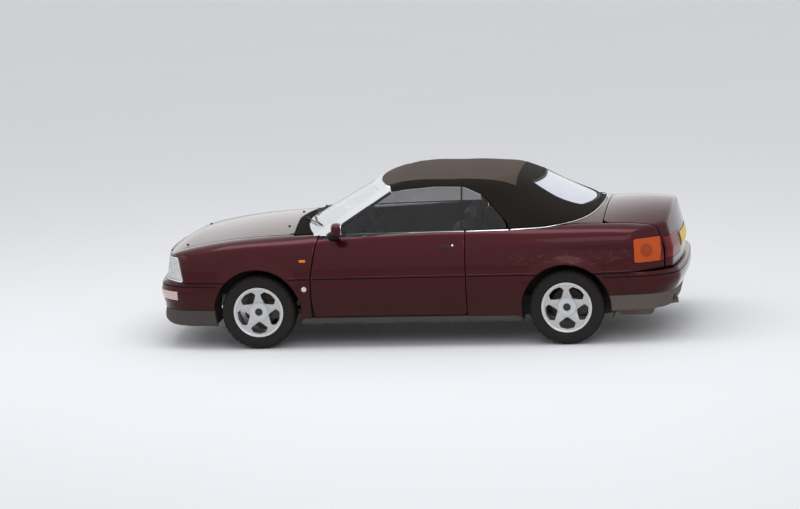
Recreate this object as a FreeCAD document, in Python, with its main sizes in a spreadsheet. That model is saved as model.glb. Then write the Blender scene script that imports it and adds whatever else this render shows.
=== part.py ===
import FreeCAD, Part
import Sketcher
import math
import os
import re
import sys

# A four-seat convertible car with its soft top up, right-hand drive, +X forward, +Y the car's left,
# +Z up, origin on the ground under the middle of the car. Millimetres.

doc = FreeCAD.newDocument("convertible")
sheet = doc.addObject("Spreadsheet::Sheet", "Sizes")

SIZES = [
    # alias, value, what it is
    ("wheelbase", 2556, "front axle to rear axle"),
    ("front_axle", 1303, "front axle ahead of the middle of the car"),
    ("tyre_radius", 308, "tyre, outside"),
    ("tyre_width", 205, "tyre, widest"),
    ("wheel_plane", 722, "middle of a tyre out from the centre line"),
    ("rim_radius", 207, "rim flange"),
    ("rim_depth", 176, "rim, flange to flange"),
    ("disc_radius", 138, "brake disc"),
    ("disc_thickness", 20, "brake disc"),
    ("bolt_circle_radius", 56, "wheel bolts"),
    ("bolt_hole_radius", 7, "wheel bolts"),
    ("bearing_clearance", 0.1, "hub bore over its spindle, on the radius"),
    ("spindle_radius", 20, "stub axle"),
    ("arch_radius", 366, "wheel arch in the side"),
    ("liner_radius", 378, "wheelhouse inside the arch"),
    ("liner_wall", 8, "wheelhouse wall"),
    ("panel_gap", 6, "shut lines"),
    ("seat_gap", 0.3, "pieces that rest on each other"),
    ("side_skin", 30, "wings and quarter panels"),
    ("deck_skin", 20, "bonnet and boot lid"),
    ("end_skin", 24, "boot lid's rear wall"),
    ("lamp_depth", 60, "lamp bodies"),
    ("sill_bottom", 200, "underside of the body"),
    ("sill_top", 400, "top of the sill"),
    ("door_bottom", 264, "lower edge of a door"),
    ("door_front", 845, "front shut line of a door, low down"),
    ("door_rear", -435, "rear shut line of a door"),
    ("door_inner_low", 765, "inner face of a door at its foot, out from the centre line"),
    ("door_inner_high", 700, "inner face of a door at the waist, out from the centre line"),
    ("waist_front", 903, "door's top edge at its front"),
    ("waist_rear", 953, "door's top edge at its rear"),
    ("bonnet_rear", 1000, "bonnet's rear corners"),
    ("bonnet_rear_half", 655, "bonnet's half width at the rear"),
    ("bonnet_front_half", 600, "bonnet's half width at the front"),
    ("lid_front", -1565, "boot lid's front edge"),
    ("lid_front_half", 690, "boot lid's half width at the front"),
    ("lid_rear_half", 625, "boot lid's half width at the rear"),
    ("bumper_top_front", 560, "top edge of the front bumper"),
    ("bumper_top_rear", 592, "top edge of the rear bumper"),
    ("bumper_skin", 30, "bumper covers"),
    ("glass_thickness", 5, "window glass"),
    ("screen_rake", 29, "windscreen, degrees from the horizontal"),
    ("screen_bow", 1400, "windscreen's radius in plan"),
    ("roof_skin", 24, "soft top with its bows"),
    ("seat_width", 480, "front seats"),
    ("seat_offset", 375, "front seats' middle out from the centre line"),
    ("wheel_rim_radius", 185, "steering wheel"),
]
for row, (alias, value, note) in enumerate(SIZES, start=1):
    sheet.set(f"A{row}", alias)
    sheet.set(f"B{row}", str(value))
    sheet.set(f"C{row}", note)
    sheet.setAlias(f"B{row}", alias)
doc.recompute()


def size(alias):
    return float(sheet.get(alias))


front_axle = size("front_axle")
rear_axle = front_axle - size("wheelbase")
axle_height = size("tyre_radius")
gap = size("panel_gap")
seat_gap = size("seat_gap")
FAR = 1200
HIGH = 1500
pieces = []


def point(x, y, z):
    return FreeCAD.Vector(x, y, z)


def keep(label, shape):
    """a piece whose shape is worked out here"""
    feature = doc.addObject("Part::Feature", label)
    feature.Label = label
    feature.Shape = shape
    feature.Placement = FreeCAD.Placement()
    pieces.append(feature)
    return feature


def rounded_wire(corners, place):
    """closed outline of straight runs joined by tangent arcs; a corner is (u, v, radius)"""
    flat = [point(u, v, 0) for u, v, radius in corners]
    count = len(flat)
    stops = []
    for index, (u, v, radius) in enumerate(corners):
        here = flat[index]
        back = (flat[index - 1] - here).normalize()
        ahead = (flat[(index + 1) % count] - here).normalize()
        if radius == 0:
            stops.append((here, None, here))
            continue
        half = back.getAngle(ahead) / 2
        reach = radius / math.tan(half)
        inward = (back + ahead).normalize()
        middle = here + inward * (radius / math.sin(half) - radius)
        stops.append((here + back * reach, middle, here + ahead * reach))
    edges = []
    for index, (start, middle, end) in enumerate(stops):
        if middle is not None:
            edges.append(Part.Arc(place(start), place(middle), place(end)).toShape())
        following = stops[(index + 1) % count][0]
        if (following - end).Length > 0.01:
            edges.append(Part.LineSegment(place(end), place(following)).toShape())
    return Part.Wire(edges)


def extruded(corners, place, travel):
    return Part.Face(rounded_wire(corners, place)).extrude(travel)


def side_prism(corners, y_low, y_high):
    """outline in x and z, carried across the car"""
    return extruded(corners, lambda p: point(p.x, y_low, p.y), point(0, y_high - y_low, 0))


def plan_prism(corners, z_low, z_high):
    """outline in x and y, carried upwards"""
    return extruded(corners, lambda p: point(p.x, p.y, z_low), point(0, 0, z_high - z_low))


def cross_prism(corners, x_low, x_high):
    """outline in y and z, carried along the car"""
    return extruded(corners, lambda p: point(x_low, p.x, p.y), point(x_high - x_low, 0, 0))


def block(x_low, x_high, y_low, y_high, z_low, z_high):
    return Part.makeBox(x_high - x_low, y_high - y_low, z_high - z_low, point(x_low, y_low, z_low))


def mirrored(shape):
    return shape.mirror(point(0, 0, 0), point(0, 1, 0))


def both_sides(shape):
    return Part.Compound([shape, mirrored(shape)])


def cylinder(centre, direction, radius, length):
    return Part.makeCylinder(radius, length, centre, direction)


# The body's outer form: cross sections along the car, joined smoothly, then trimmed in plan.
SECTIONS = [
    # x, middle height, edge half width, edge height, crease half width, crease height, widest, bulge
    (-2230, 1040, 615, 893, 740, 770, 760, 0.15),
    (-1930, 1075, 665, 957, 800, 782, 815, 0.2),
    (-1560, 1065, 695, 980, 832, 790, 850, 0.2),
    (-450, 1000, 752, 953, 840, 785, 858, 0.08),
    (950, 962, 700, 925, 838, 765, 856, 0.14),
    (1400, 932, 655, 902, 838, 742, 852, 0.2),
    (1850, 868, 640, 838, 810, 715, 822, 0.2),
    (2060, 800, 600, 765, 775, 690, 790, 0.18),
    (2230, 660, 560, 632, 750, 602, 760, 0.1),
]
WIDEST_HEIGHT = 550
TUCK_HEIGHT = 330
TUCK = 30
SILL_TUCK = 62
UNDERSIDE = 190


def body_section(row, inward, down):
    x, top, edge_y, edge_z, crease_y, crease_z, wide, bulge = row
    edge = (edge_y - inward * 0.6, edge_z - down)
    crease = (crease_y - inward, crease_z - down * 0.3)
    widest = (wide - inward, WIDEST_HEIGHT)
    tuck = (wide - TUCK - inward, TUCK_HEIGHT)
    foot = (wide - SILL_TUCK - inward, UNDERSIDE)
    run = (crease[0] - edge[0], crease[1] - edge[1])
    shoulder = (
        (edge[0] + crease[0]) / 2 - run[1] * bulge,
        (edge[1] + crease[1]) / 2 + run[0] * bulge,
    )

    def at(pair, side=1):
        return point(x, side * pair[0], pair[1])

    edges = [
        Part.Arc(at(edge, -1), point(x, 0, top - down), at(edge)).toShape(),
        Part.Arc(at(edge), at(shoulder), at(crease)).toShape(),
        Part.Arc(at(crease), at(widest), at(tuck)).toShape(),
        Part.LineSegment(at(tuck), at(foot)).toShape(),
        Part.LineSegment(at(foot), at(foot, -1)).toShape(),
        Part.LineSegment(at(foot, -1), at(tuck, -1)).toShape(),
        Part.Arc(at(tuck, -1), at(widest, -1), at(crease, -1)).toShape(),
        Part.Arc(at(crease, -1), at(shoulder, -1), at(edge, -1)).toShape(),
    ]
    return Part.Wire(edges)


# The ends in plan: nose and tail arcs with rounder corners.
NOSE_CENTRE = 2152
NOSE_CORNER = (2086, 600)
NOSE_TURN = (1976, 742)
NOSE_SIDE = (1800, 868)
TAIL_CENTRE = -2168
TAIL_CORNER = (-2118, 580)
TAIL_TURN = (-1990, 705)
TAIL_SIDE = (-1715, 868)
LEAN = [
    # height, how far the nose and the tail stand forward there
    (140, 75, 30),
    (750, -16, 0),
    (1100, -68, 82),
]


def plan_wire(height, back, nose_shift, tail_shift):
    def at(pair, side, shift):
        return point(pair[0] + shift, side * pair[1], height)

    nose = nose_shift - back
    tail = tail_shift + back
    corner, turn, flank = NOSE_CORNER, NOSE_TURN, NOSE_SIDE
    end_corner, end_turn, end_flank = TAIL_CORNER, TAIL_TURN, TAIL_SIDE
    return Part.Wire([
        Part.Arc(at(corner, -1, nose), point(NOSE_CENTRE + nose, 0, height),
                 at(corner, 1, nose)).toShape(),
        Part.Arc(at(corner, 1, nose), at(turn, 1, nose), at(flank, 1, nose)).toShape(),
        Part.LineSegment(at(flank, 1, nose), at(end_flank, 1, tail)).toShape(),
        Part.Arc(at(end_flank, 1, tail), at(end_turn, 1, tail),
                 at(end_corner, 1, tail)).toShape(),
        Part.Arc(at(end_corner, 1, tail), point(TAIL_CENTRE + tail, 0, height),
                 at(end_corner, -1, tail)).toShape(),
        Part.Arc(at(end_corner, -1, tail), at(end_turn, -1, tail),
                 at(end_flank, -1, tail)).toShape(),
        Part.LineSegment(at(end_flank, -1, tail), at(flank, -1, nose)).toShape(),
        Part.Arc(at(flank, -1, nose), at(turn, -1, nose), at(corner, -1, nose)).toShape(),
    ])


def plan_solid(back):
    return Part.makeLoft([plan_wire(height, back, nose, tail) for height, nose, tail in LEAN], True, True)


def body_form(inward, down, back):
    """the body's outline as one solid, moved in from its skin"""
    tube = Part.makeLoft([body_section(row, inward, down) for row in SECTIONS], True, False)
    return tube.common(plan_solid(back))


outer = body_form(0, 0, 0)
side_inner = body_form(size("side_skin"), size("deck_skin"), size("side_skin"))
deck_inner = body_form(size("side_skin"), size("deck_skin"), size("end_skin"))
side_shell = outer.cut(side_inner)
deck_shell = outer.cut(deck_inner)
liner_form = body_form(size("side_skin") + seat_gap, size("deck_skin") + seat_gap, size("side_skin"))

# Shut lines in side view.
door_front = size("door_front")
door_rear = size("door_rear")
DOOR_EDGE = [(door_front, size("door_bottom")), (door_front + 3, 420), (door_front, 600), (800, 840), (782, 903)]
door_corners = [(x, z, 0) for x, z in DOOR_EDGE]
door_corners[0] = (door_front - 15, size("door_bottom"), 0)
door_corners += [(door_rear, size("waist_rear"), 0), (door_rear, size("door_bottom"), 30)]


def arch(axle, radius):
    """the round of a wheel arch as a cutter through the whole car"""
    return cylinder(point(axle, -FAR, axle_height), point(0, 1, 0), radius, 2 * FAR)


bonnet_plan = [
    (size("bonnet_rear"), -size("bonnet_rear_half"), 60),
    (2300, -size("bonnet_front_half") + 20, 0),
    (2300, size("bonnet_front_half") - 20, 0),
    (size("bonnet_rear"), size("bonnet_rear_half"), 60),
    (size("bonnet_rear") + 55, 0, 1200),
]


def grown(corners, amount):
    """a plan outline that is symmetric about the car's length, widened on each side"""
    return [(x, y + math.copysign(amount, y) if y else y, r) for x, y, r in corners]


# Bonnet: the deck between the wings, from the screen to above the lamps and the grille.
LAMP_TOP = 768
bonnet_side = [(900, 1100, 0), (900, 860, 0), (1900, LAMP_TOP + gap, 0), (2300, LAMP_TOP + gap - 20, 0), (2300, 1100, 0)]
bonnet = deck_shell.common(plan_prism(bonnet_plan, 600, HIGH)).common(side_prism(bonnet_side, -FAR, FAR))
bonnet_buffer = block(1945, 1975, 400, 430, 720 + seat_gap, 808)
keep("bonnet", bonnet.fuse(both_sides(bonnet_buffer)))

# Front wings, from the door to the lamps, down to the bumper and over the wheel.
wing_side = [
    (door_front + 8 + 3, size("sill_bottom") + 5, 0),
    (door_front + 8 + 3, 420, 0),
    (door_front + 8, 600, 0),
    (809, 840, 0),
    (790, 912, 0),
    (786, 1100, 0),
    (1985, 1100, 0),
    (1985, 800, 0),
    (1930, size("bumper_top_front") + gap, 0),
    (1500, size("bumper_top_front") + gap, 0),
    (1500, size("sill_bottom") + 5, 0),
]
wing = side_shell.common(side_prism(wing_side, 500, FAR))
wing = wing.cut(plan_prism(grown(bonnet_plan, gap), 600, HIGH)).cut(arch(front_axle, size("arch_radius")))
wing = wing.cut(block(600, 1000 - gap, 0, 690, 0, HIGH)).cut(block(600, 1070, 0, 658, 0, HIGH))
keep("front_wings", both_sides(wing))

# Quarter panels, from the door to the tail lamps.
lid_plan = [
    (size("lid_front"), size("lid_front_half"), 70),
    (size("lid_front"), -size("lid_front_half"), 70),
    (-2000, -size("lid_rear_half") - 30, 0),
    (-2300, -size("lid_rear_half") + 20, 0),
    (-2300, size("lid_rear_half") - 20, 0),
    (-2000, size("lid_rear_half") + 30, 0),
]
quarter_side = [
    (door_rear - gap, size("sill_bottom") + 5, 0),
    (-1400, size("sill_bottom") + 5, 0),
    (-1400, size("bumper_top_rear") + gap, 0),
    (-2300, size("bumper_top_rear") + gap, 0),
    (-2300, 1200, 0),
    (door_rear - gap, 1200, 0),
]
LAMP_SPLIT = 646
tail_lamp_side = [(-1818, 665, 12), (-2300, 655, 0), (-2300, 862, 0), (-1812, 862, 12)]
quarter = side_shell.common(side_prism(quarter_side, 480, FAR))
quarter = quarter.cut(plan_prism(grown(lid_plan, gap), 500, HIGH)).cut(arch(rear_axle, size("arch_radius")))
quarter = quarter.cut(side_prism([(x, z, r) for x, z, r in tail_lamp_side], 0, FAR))
roof_foot = [(100, -742, 0), (100, 742, 0), (-1000, 745, 300), (-1530, 560, 330), (-1530, -560, 330), (-1000, -745, 300)]
quarter = quarter.cut(plan_prism(roof_foot, 930, HIGH)).cut(block(-1600, 100, 0, 700, 930, HIGH))
keep("quarter_panels", both_sides(quarter))

# Deck behind the soft top.
deck_cover = deck_shell.common(block(size("lid_front") + gap, -700, -697, 697, 930, HIGH))
deck_cover = deck_cover.cut(plan_prism(grown(roof_foot, 1), 900, HIGH))
keep("deck_cover", deck_cover)

# Boot lid: deck and rear wall in one, between the tail lamps.
lid = deck_shell.common(plan_prism(lid_plan, size("bumper_top_rear") + gap, HIGH))
lid = lid.cut(block(-2030, -1500, -FAR, FAR, 0, 880))
lid_lamp = deck_shell.common(block(-2300, -1900, 300, LAMP_SPLIT - 4, 672, 850))
lid_lamps = both_sides(lid_lamp)
lid_buffer = block(-2132, -2020 - seat_gap, 300, 340, 605, 640)
lid = lid.cut(lid_lamps).fuse(both_sides(lid_buffer))
keep("boot_lid", lid)
keep("lid_lamps", lid_lamps)

# Tail lamps on the quarters.
lamp_inner = body_form(size("lamp_depth") - 10, size("deck_skin"), size("lamp_depth"))
lamp_shell = outer.cut(lamp_inner)
tail_lamp = lamp_shell.common(side_prism([(-1818 - 1, 666, 12), (-2300, 656, 0), (-2300, 861, 0), (-1813, 861, 12)], 0, FAR))
tail_lamp = tail_lamp.cut(plan_prism(grown(lid_plan, gap), 600, HIGH)).cut(block(-2300, -1500, 0, LAMP_SPLIT + 2, 0, HIGH))
keep("tail_lamps", both_sides(tail_lamp))

# Headlamps.
head_lamp = lamp_shell.common(side_prism([
    (1931.4, size("bumper_top_front") + gap + 4, 8),
    (2300, size("bumper_top_front") + gap + 4, 0),
    (2300, LAMP_TOP - 26, 0),
    (1976.8, LAMP_TOP - 5, 10),
], 330, FAR))
keep("head_lamps", both_sides(head_lamp))

# Grille, carried by the bonnet.
grille_zone = cross_prism([(-330, LAMP_TOP + 40, 0), (-285, 586, 20), (285, 586, 20), (330, LAMP_TOP + 40, 0)], 2000, 2300)
grille_zone = grille_zone.cut(side_prism(bonnet_side, -FAR, FAR).translated(point(0, 0, -seat_gap)))
grille_hole = cross_prism([(-298, LAMP_TOP - 46, 12), (-265, 606, 12), (265, 606, 12), (298, LAMP_TOP - 46, 12)], 1900, 2400)
front_shell = outer.cut(body_form(20, 20, 26))
grille = front_shell.common(grille_zone).cut(grille_hole)
bars = [front_shell.common(block(1900, 2300, -305, 305, 606 + 20 * k, 606 + 20 * k + 6)).common(grille_zone) for k in range(1, 6)]
grille = grille.multiFuse(bars)
keep("grille", grille)

# Doors.
for side, name in ((1, "left"), (-1, "right")):
    slab = side_prism(door_corners, 400, FAR)
    inside = cross_prism([
        (0, 100, 0),
        (size("door_inner_low"), 100, 0),
        (size("door_inner_low"), size("sill_top"), 0),
        (size("door_inner_high"), 900, 0),
        (size("door_inner_high"), HIGH, 0),
        (0, HIGH, 0),
    ], -FAR, FAR)
    door = outer.common(slab).cut(inside)
    keep(f"door_{name}", door if side == 1 else mirrored(door))


# Bumper covers, lower lip and rear valance: plan outlines joined from the bottom up.
FRONT_LEVELS = [
    # height, middle, corner x, corner y, turn x, turn y, flank y
    (190, 2140, 2095, 565, 1965, 725, 812),
    (255, 2180, 2136, 575, 2003, 740, 826),
    (330, 2174, 2128, 577, 1995, 741, 836),
    (480, 2192, 2156, 588, 2018, 745, 856),
    (560, 2172, 2128, 582, 1998, 730, 848),
]
REAR_LEVELS = [
    (270, 2125, 2080, 555, 1960, 722, 812),
    (405, 2165, 2125, 572, 2005, 730, 836),
    (500, 2203, 2170, 585, 2045, 745, 857),
    (592, 2190, 2150, 575, 2020, 735, 848),
]
FLANK_END = 1400
SHOULDER_X = 1800
SHOULDER_DROP = 44


def end_cover(levels, way, skin):
    """a cover that wraps round one end of the car; way is 1 for the nose and -1 for the tail"""
    def outline(row, inward):
        height, middle, corner_x, corner_y, turn_x, turn_y, flank_y = row
        corner = (corner_x - inward, corner_y - inward * 0.4)
        turn = (turn_x - inward * 0.7, turn_y - inward * 0.7)
        flank = (FLANK_END, flank_y - inward)

        shoulder = (SHOULDER_X, flank_y - inward - SHOULDER_DROP)
        between = (SHOULDER_X / 2 + FLANK_END / 2, flank_y - inward - SHOULDER_DROP / 4)

        def at(pair, side):
            return point(way * pair[0], side * pair[1], height)

        return Part.Wire([
            Part.Arc(at(corner, -1), point(way * (middle - inward), 0, height), at(corner, 1)).toShape(),
            Part.Arc(at(corner, 1), at(turn, 1), at(shoulder, 1)).toShape(),
            Part.Arc(at(shoulder, 1), at(between, 1), at(flank, 1)).toShape(),
            Part.LineSegment(at(flank, 1), at(flank, -1)).toShape(),
            Part.Arc(at(flank, -1), at(between, -1), at(shoulder, -1)).toShape(),
            Part.Arc(at(shoulder, -1), at(turn, -1), at(corner, -1)).toShape(),
        ])

    full = Part.makeLoft([outline(row, 0) for row in levels], True, False)
    hollow = Part.makeLoft([outline(row, skin) for row in levels], True, False)
    axle = front_axle if way == 1 else rear_axle
    return full.cut(hollow).cut(arch(axle, size("arch_radius")))


front_cover = end_cover(FRONT_LEVELS, 1, size("bumper_skin"))
rear_cover = end_cover(REAR_LEVELS, -1, size("bumper_skin"))
front_bumper = front_cover.common(block(FLANK_END, 2400, -FAR, FAR, 330, 700))
intake = cross_prism([(-420, 352, 15), (420, 352, 15), (440, 432, 15), (-440, 432, 15)], 1900, 2400)
side_lamp_zone = both_sides(block(1900, 2400, 560, 800, 408, 486))
front_bumper = front_bumper.cut(intake).cut(side_lamp_zone)
front_bumper = front_bumper.fuse(both_sides(block(1985 + seat_gap, 2160, 200, 260, 440, 475)))
keep("front_bumper", front_bumper)
keep("side_lamps", front_cover.common(both_sides(block(1900, 2400, 560.3, 799, 408.3, 485.7))).cut(intake))
rear_bumper = rear_cover.common(block(-2400, -FLANK_END, -FAR, FAR, 405, 700))
rear_bumper = rear_bumper.fuse(both_sides(block(-2180, -2020 - seat_gap, 200, 260, 470, 520)))
keep("rear_bumper", rear_bumper)

# Lower trim: front lip, sill strips and rear valance.
lip = front_cover.common(block(FLANK_END, 2400, -FAR, FAR, 100, 330 - seat_gap))
valance = rear_cover.common(block(-2400, -FLANK_END, -FAR, FAR, 100, 405 - seat_gap))
valance = valance.cut(block(-2400, -1900, 385, 495, 0, 338))
strip_side = [(905, 200, 0), (905, 256, 0), (-870, 256, 0), (-870, 200, 0)]
strip = outer.common(side_prism(strip_side, 745, FAR))
strip = strip.cut(block(838 + 10, 2000, 0, FAR, 200, HIGH)).cut(block(-2000, door_rear - gap, 0, FAR, 200, HIGH))
keep("lower_trim", Part.Compound([lip, valance, strip, mirrored(strip)]))

# Windscreen: an arc in plan carried up a slope, its frame and glass cut from it.
rake = math.radians(size("screen_rake"))
SCREEN_FOOT = (985, 946)
SCREEN_LOW = 860
slope = point(-math.cos(rake), 0, math.sin(rake))
bow = size("screen_bow")


def screen_zone(front_back, rear_back):
    """what lies between two bowed sheets, each set back from the screen's outer face along the car"""
    half = 900
    start = SCREEN_FOOT[0] + (SCREEN_FOOT[1] - SCREEN_LOW) / math.tan(rake)
    sag = bow - math.sqrt(bow ** 2 - half ** 2)

    def bowed(back):
        return Part.Arc(point(start - sag - back, -half, SCREEN_LOW), point(start - back, 0, SCREEN_LOW),
                        point(start - sag - back, half, SCREEN_LOW)).toShape()

    front, rear = bowed(front_back), bowed(rear_back)
    ends = [
        Part.LineSegment(point(start - sag - front_back, side * half, SCREEN_LOW),
                         point(start - sag - rear_back, side * half, SCREEN_LOW)).toShape()
        for side in (-1, 1)
    ]
    face = Part.Face(Part.Wire(Part.__sortEdges__([front, rear] + ends)))
    return face.extrude(slope * 1300)


FRAME_BACK = 85
outer_plus = body_form(-seat_gap, -seat_gap, 0)
frame_outline = [(-752, 860, 0), (-578, 1306, 25), (578, 1306, 25), (752, 860, 0)]
glass_outline = [(-705, 925, 30), (-540, 1270, 40), (540, 1270, 40), (705, 925, 30)]
frame_zone = screen_zone(0, FRAME_BACK)
screen_frame = frame_zone.common(cross_prism(frame_outline, -500, 2000))
screen_frame = screen_frame.cut(cross_prism(glass_outline, -500, 2000)).cut(outer_plus)
keep("windscreen_frame", screen_frame)
pane_outline = [(math.copysign(abs(y) - seat_gap, y), z + (seat_gap if z < 1000 else -seat_gap), r)
                for y, z, r in glass_outline]
pane = screen_zone(8, 8 + size("glass_thickness") / math.sin(rake)).common(cross_prism(pane_outline, -500, 2000))
keep("windscreen", pane.cut(outer_plus))

# Scuttle between the bonnet and the windscreen.
scuttle = deck_shell.common(block(840, 1120, -652, 652, 850, HIGH))
scuttle = scuttle.cut(plan_prism(grown(bonnet_plan, gap), 600, HIGH).translated(point(-gap, 0, 0)))
scuttle = scuttle.cut(screen_zone(10, 400))
keep("scuttle", scuttle)

# Soft top: plan outlines joined upwards, under a crowned roof line.
ROOF_LEVELS = [
    # height, rear middle, corner x, corner y, turn x, turn y, flank x, flank y, front y
    (930, -1775, -1640, 420, -1440, 630, -1080, 752, 790),
    (1056, -1535, -1440, 380, -1285, 572, -950, 700, 730),
    (1180, -1250, -1190, 340, -1070, 505, -800, 645, 665),
    (1300, -1000, -960, 320, -880, 455, -650, 590, 598),
    (1410, -780, -750, 300, -690, 410, -480, 538, 540),
]
ROOF_FRONT = 700


def roof_form(inward):
    def outline(row):
        height, middle, corner_x, corner_y, turn_x, turn_y, flank_x, flank_y, front_y = row
        corner = (corner_x + inward * 1.6, corner_y - inward * 0.4)
        turn = (turn_x + inward * 1.2, turn_y - inward * 0.8)
        flank = (flank_x, flank_y - inward)
        front = (ROOF_FRONT, front_y - inward)

        def at(pair, side):
            return point(pair[0], side * pair[1], height)

        return Part.Wire([
            Part.Arc(at(corner, -1), point(middle + inward * 2, 0, height), at(corner, 1)).toShape(),
            Part.Arc(at(corner, 1), at(turn, 1), at(flank, 1)).toShape(),
            Part.LineSegment(at(flank, 1), at(front, 1)).toShape(),
            Part.LineSegment(at(front, 1), at(front, -1)).toShape(),
            Part.LineSegment(at(front, -1), at(flank, -1)).toShape(),
            Part.Arc(at(flank, -1), at(turn, -1), at(corner, -1)).toShape(),
        ])

    def crown(y, drop):
        low = drop + inward

        def at(x, z):
            return point(x, y, z - low)

        return Part.Wire([
            Part.Arc(at(480, 1262), at(200, 1352), at(-100, 1379)).toShape(),
            Part.Arc(at(-100, 1379), at(-450, 1379), at(-800, 1362)).toShape(),
            Part.LineSegment(at(-800, 1362), at(-1000, 1332)).toShape(),
            Part.LineSegment(at(-1000, 1332), at(-1900, 1200)).toShape(),
            Part.LineSegment(at(-1900, 1200), at(-1900, 800)).toShape(),
            Part.LineSegment(at(-1900, 800), at(480, 800)).toShape(),
            Part.LineSegment(at(480, 800), at(480, 1262)).toShape(),
        ])

    walls = Part.makeLoft([outline(row) for row in ROOF_LEVELS], True, False)
    lid = Part.makeLoft([crown(-720, 62), crown(0, 0), crown(720, 62)], True, False)
    return walls.common(lid)


WINDOW = [
    (-795, 850, 0),
    (-790, 945, 40),
    (-762, 1030, 120),
    (-590, 1215, 120),
    (-420, 1290, 160),
    (-180, 1296, 300),
    (60, 1278, 500),
    (900, 1170, 0),
    (900, 850, 0),
]
roof_outer = roof_form(0)
roof_inner = roof_form(size("roof_skin"))
rear_window_outline = [(-390, 1283, 50), (390, 1283, 50), (478, 1086, 60), (-478, 1086, 60)]
soft_top = roof_outer.cut(roof_inner).cut(outer_plus)
soft_top = soft_top.cut(both_sides(side_prism(WINDOW, 450, FAR)))
soft_top = soft_top.cut(cross_prism(rear_window_outline, -1900, -850))
soft_top = soft_top.cut(screen_zone(-1500, FRAME_BACK + 1))
keep("soft_top", soft_top)

rear_pane_outline = [(math.copysign(abs(y) - seat_gap, y), z + (seat_gap if z < 1200 else -seat_gap), r)
                     for y, z, r in rear_window_outline]
rear_window = roof_form(8).cut(roof_form(8 + size("glass_thickness") / 2)).common(cross_prism(rear_pane_outline, -1900, -850))
keep("rear_window", rear_window)

# Side glass, leaning in towards the roof.
GLASS_FOOT = (748, 930)
GLASS_HEAD = (588, 1290)
GLASS_SPLIT = -393
lean = (GLASS_HEAD[0] - GLASS_FOOT[0]) / (GLASS_HEAD[1] - GLASS_FOOT[1])


def glass_slab(low, high):
    def at(height):
        return GLASS_FOOT[0] + (height - GLASS_FOOT[1]) * lean

    thick = size("glass_thickness") * 1.1
    return cross_prism([(at(low), low, 0), (at(low) + thick, low, 0), (at(high) + thick, high, 0), (at(high), high, 0)], -900, 900)


waist_slope = (size("waist_rear") - size("waist_front")) / (door_rear - 782)


def waist_at(x):
    return size("waist_front") + (x - 782) * waist_slope


window_inside = [
    (-780, 958 + seat_gap, 12),
    (-754, 1030, 110),
    (-584, 1208, 110),
    (-417, 1283, 150),
    (-180, 1290 - 0.3, 300),
    (60, 1271, 500),
    (900, 1163, 0),
    (900, waist_at(900) + seat_gap, 0),
    (door_rear, waist_at(door_rear) + seat_gap, 0),
]
side_glass = glass_slab(860, 1300).common(side_prism(window_inside, 400, FAR))
door_glass = side_glass.cut(block(-1000, GLASS_SPLIT, 0, FAR, 0, HIGH)).cut(screen_zone(-1500, FRAME_BACK + 14))
quarter_glass = side_glass.cut(block(GLASS_SPLIT - gap, 1000, 0, FAR, 0, HIGH)).cut(outer_plus)
quarter_glass = quarter_glass.cut(block(door_rear - gap, 1000, 0, FAR, 0, size("waist_rear") + gap))
keep("door_glass_left", door_glass)
keep("door_glass_right", mirrored(door_glass))
keep("quarter_glasses", both_sides(quarter_glass))


# Floor pan: floor, tunnel, sills, bulkheads, wheelhouses and end frames in one welded shell.
FLOOR_THICK = 24
floor_low = size("sill_bottom")
floor_high = floor_low + FLOOR_THICK
REAR_FLOOR = 362
FIREWALL = 950
HEELBOARD = -600
REAR_BULKHEAD = -1205
BOOT_END = -2000
sill_in, sill_out = 622, 742
strut_low = point(front_axle, 640, 200)
strut_high = point(front_axle, 520, 820)
strut_line = (strut_high - strut_low).normalize()


def along_strut(height):
    """the point of the left strut's line at a height"""
    share = (height - strut_low.z) / (strut_high.z - strut_low.z)
    return strut_low + (strut_high - strut_low) * share


liner_r = size("liner_radius")
wall = size("liner_wall")
shell = [
    block(HEELBOARD - 20, FIREWALL, -sill_out, sill_out, floor_low, floor_high),
    block(-930, FIREWALL, sill_in, sill_out, floor_low, size("sill_top")),
    block(-930, FIREWALL, -sill_out, -sill_in, floor_low, size("sill_top")),
    block(FIREWALL, FIREWALL + 24, -sill_out, sill_out, floor_low, 870),
    block(HEELBOARD - 20, HEELBOARD, -sill_in, sill_in, floor_low, REAR_FLOOR),
    block(REAR_BULKHEAD - 20, HEELBOARD, -sill_in, sill_in, REAR_FLOOR - 20, REAR_FLOOR),
    block(REAR_BULKHEAD - 20, REAR_BULKHEAD, -sill_in, sill_in, REAR_FLOOR - 20, 930),
    block(BOOT_END, REAR_BULKHEAD - 20, -500, 500, REAR_FLOOR - 20, REAR_FLOOR),
    block(BOOT_END - 20, BOOT_END, -480, 480, REAR_FLOOR - 20, 660),
]
tunnel = side_prism([(HEELBOARD, floor_low, 0), (FIREWALL, floor_low, 0), (FIREWALL, 350, 0), (HEELBOARD, 350, 0)], -130, 130)
tunnel_inside = block(HEELBOARD - 30, FIREWALL + 40, -110, 110, 100, 330)
for side in (1, -1):
    low, high = (sill_in, 800) if side == 1 else (-800, -sill_in)
    shell.append(block(door_rear - gap - 36, door_rear - gap - 4, low, high, floor_low, 900))
    low, high = (748, 780) if side == 1 else (-780, -748)
    shell.append(block(door_rear - gap - 8, door_rear - seat_gap, low, high, 560, 600))
    low, high = (sill_in, 760) if side == 1 else (-760, -sill_in)
    shell.append(block(878, FIREWALL, low, high, floor_low, 870))
    low, high = (sill_in, sill_in + 18) if side == 1 else (-sill_in - 18, -sill_in)
    shell.append(block(REAR_BULKHEAD - 20, door_rear - gap - 4, low, high, floor_low, 900))
    low, high = (372, 448) if side == 1 else (-448, -372)
    shell.append(block(FIREWALL, 1985, low, high, 400, 480))
shell.append(block(1935, 1985, -560, 560, 400, 480))
shell.append(block(1935, 1985, -560, -520, 400, 720))
shell.append(block(1935, 1985, 520, 560, 400, 720))
shell.append(block(1935, 1985, -560, 560, 690, 720))
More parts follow.
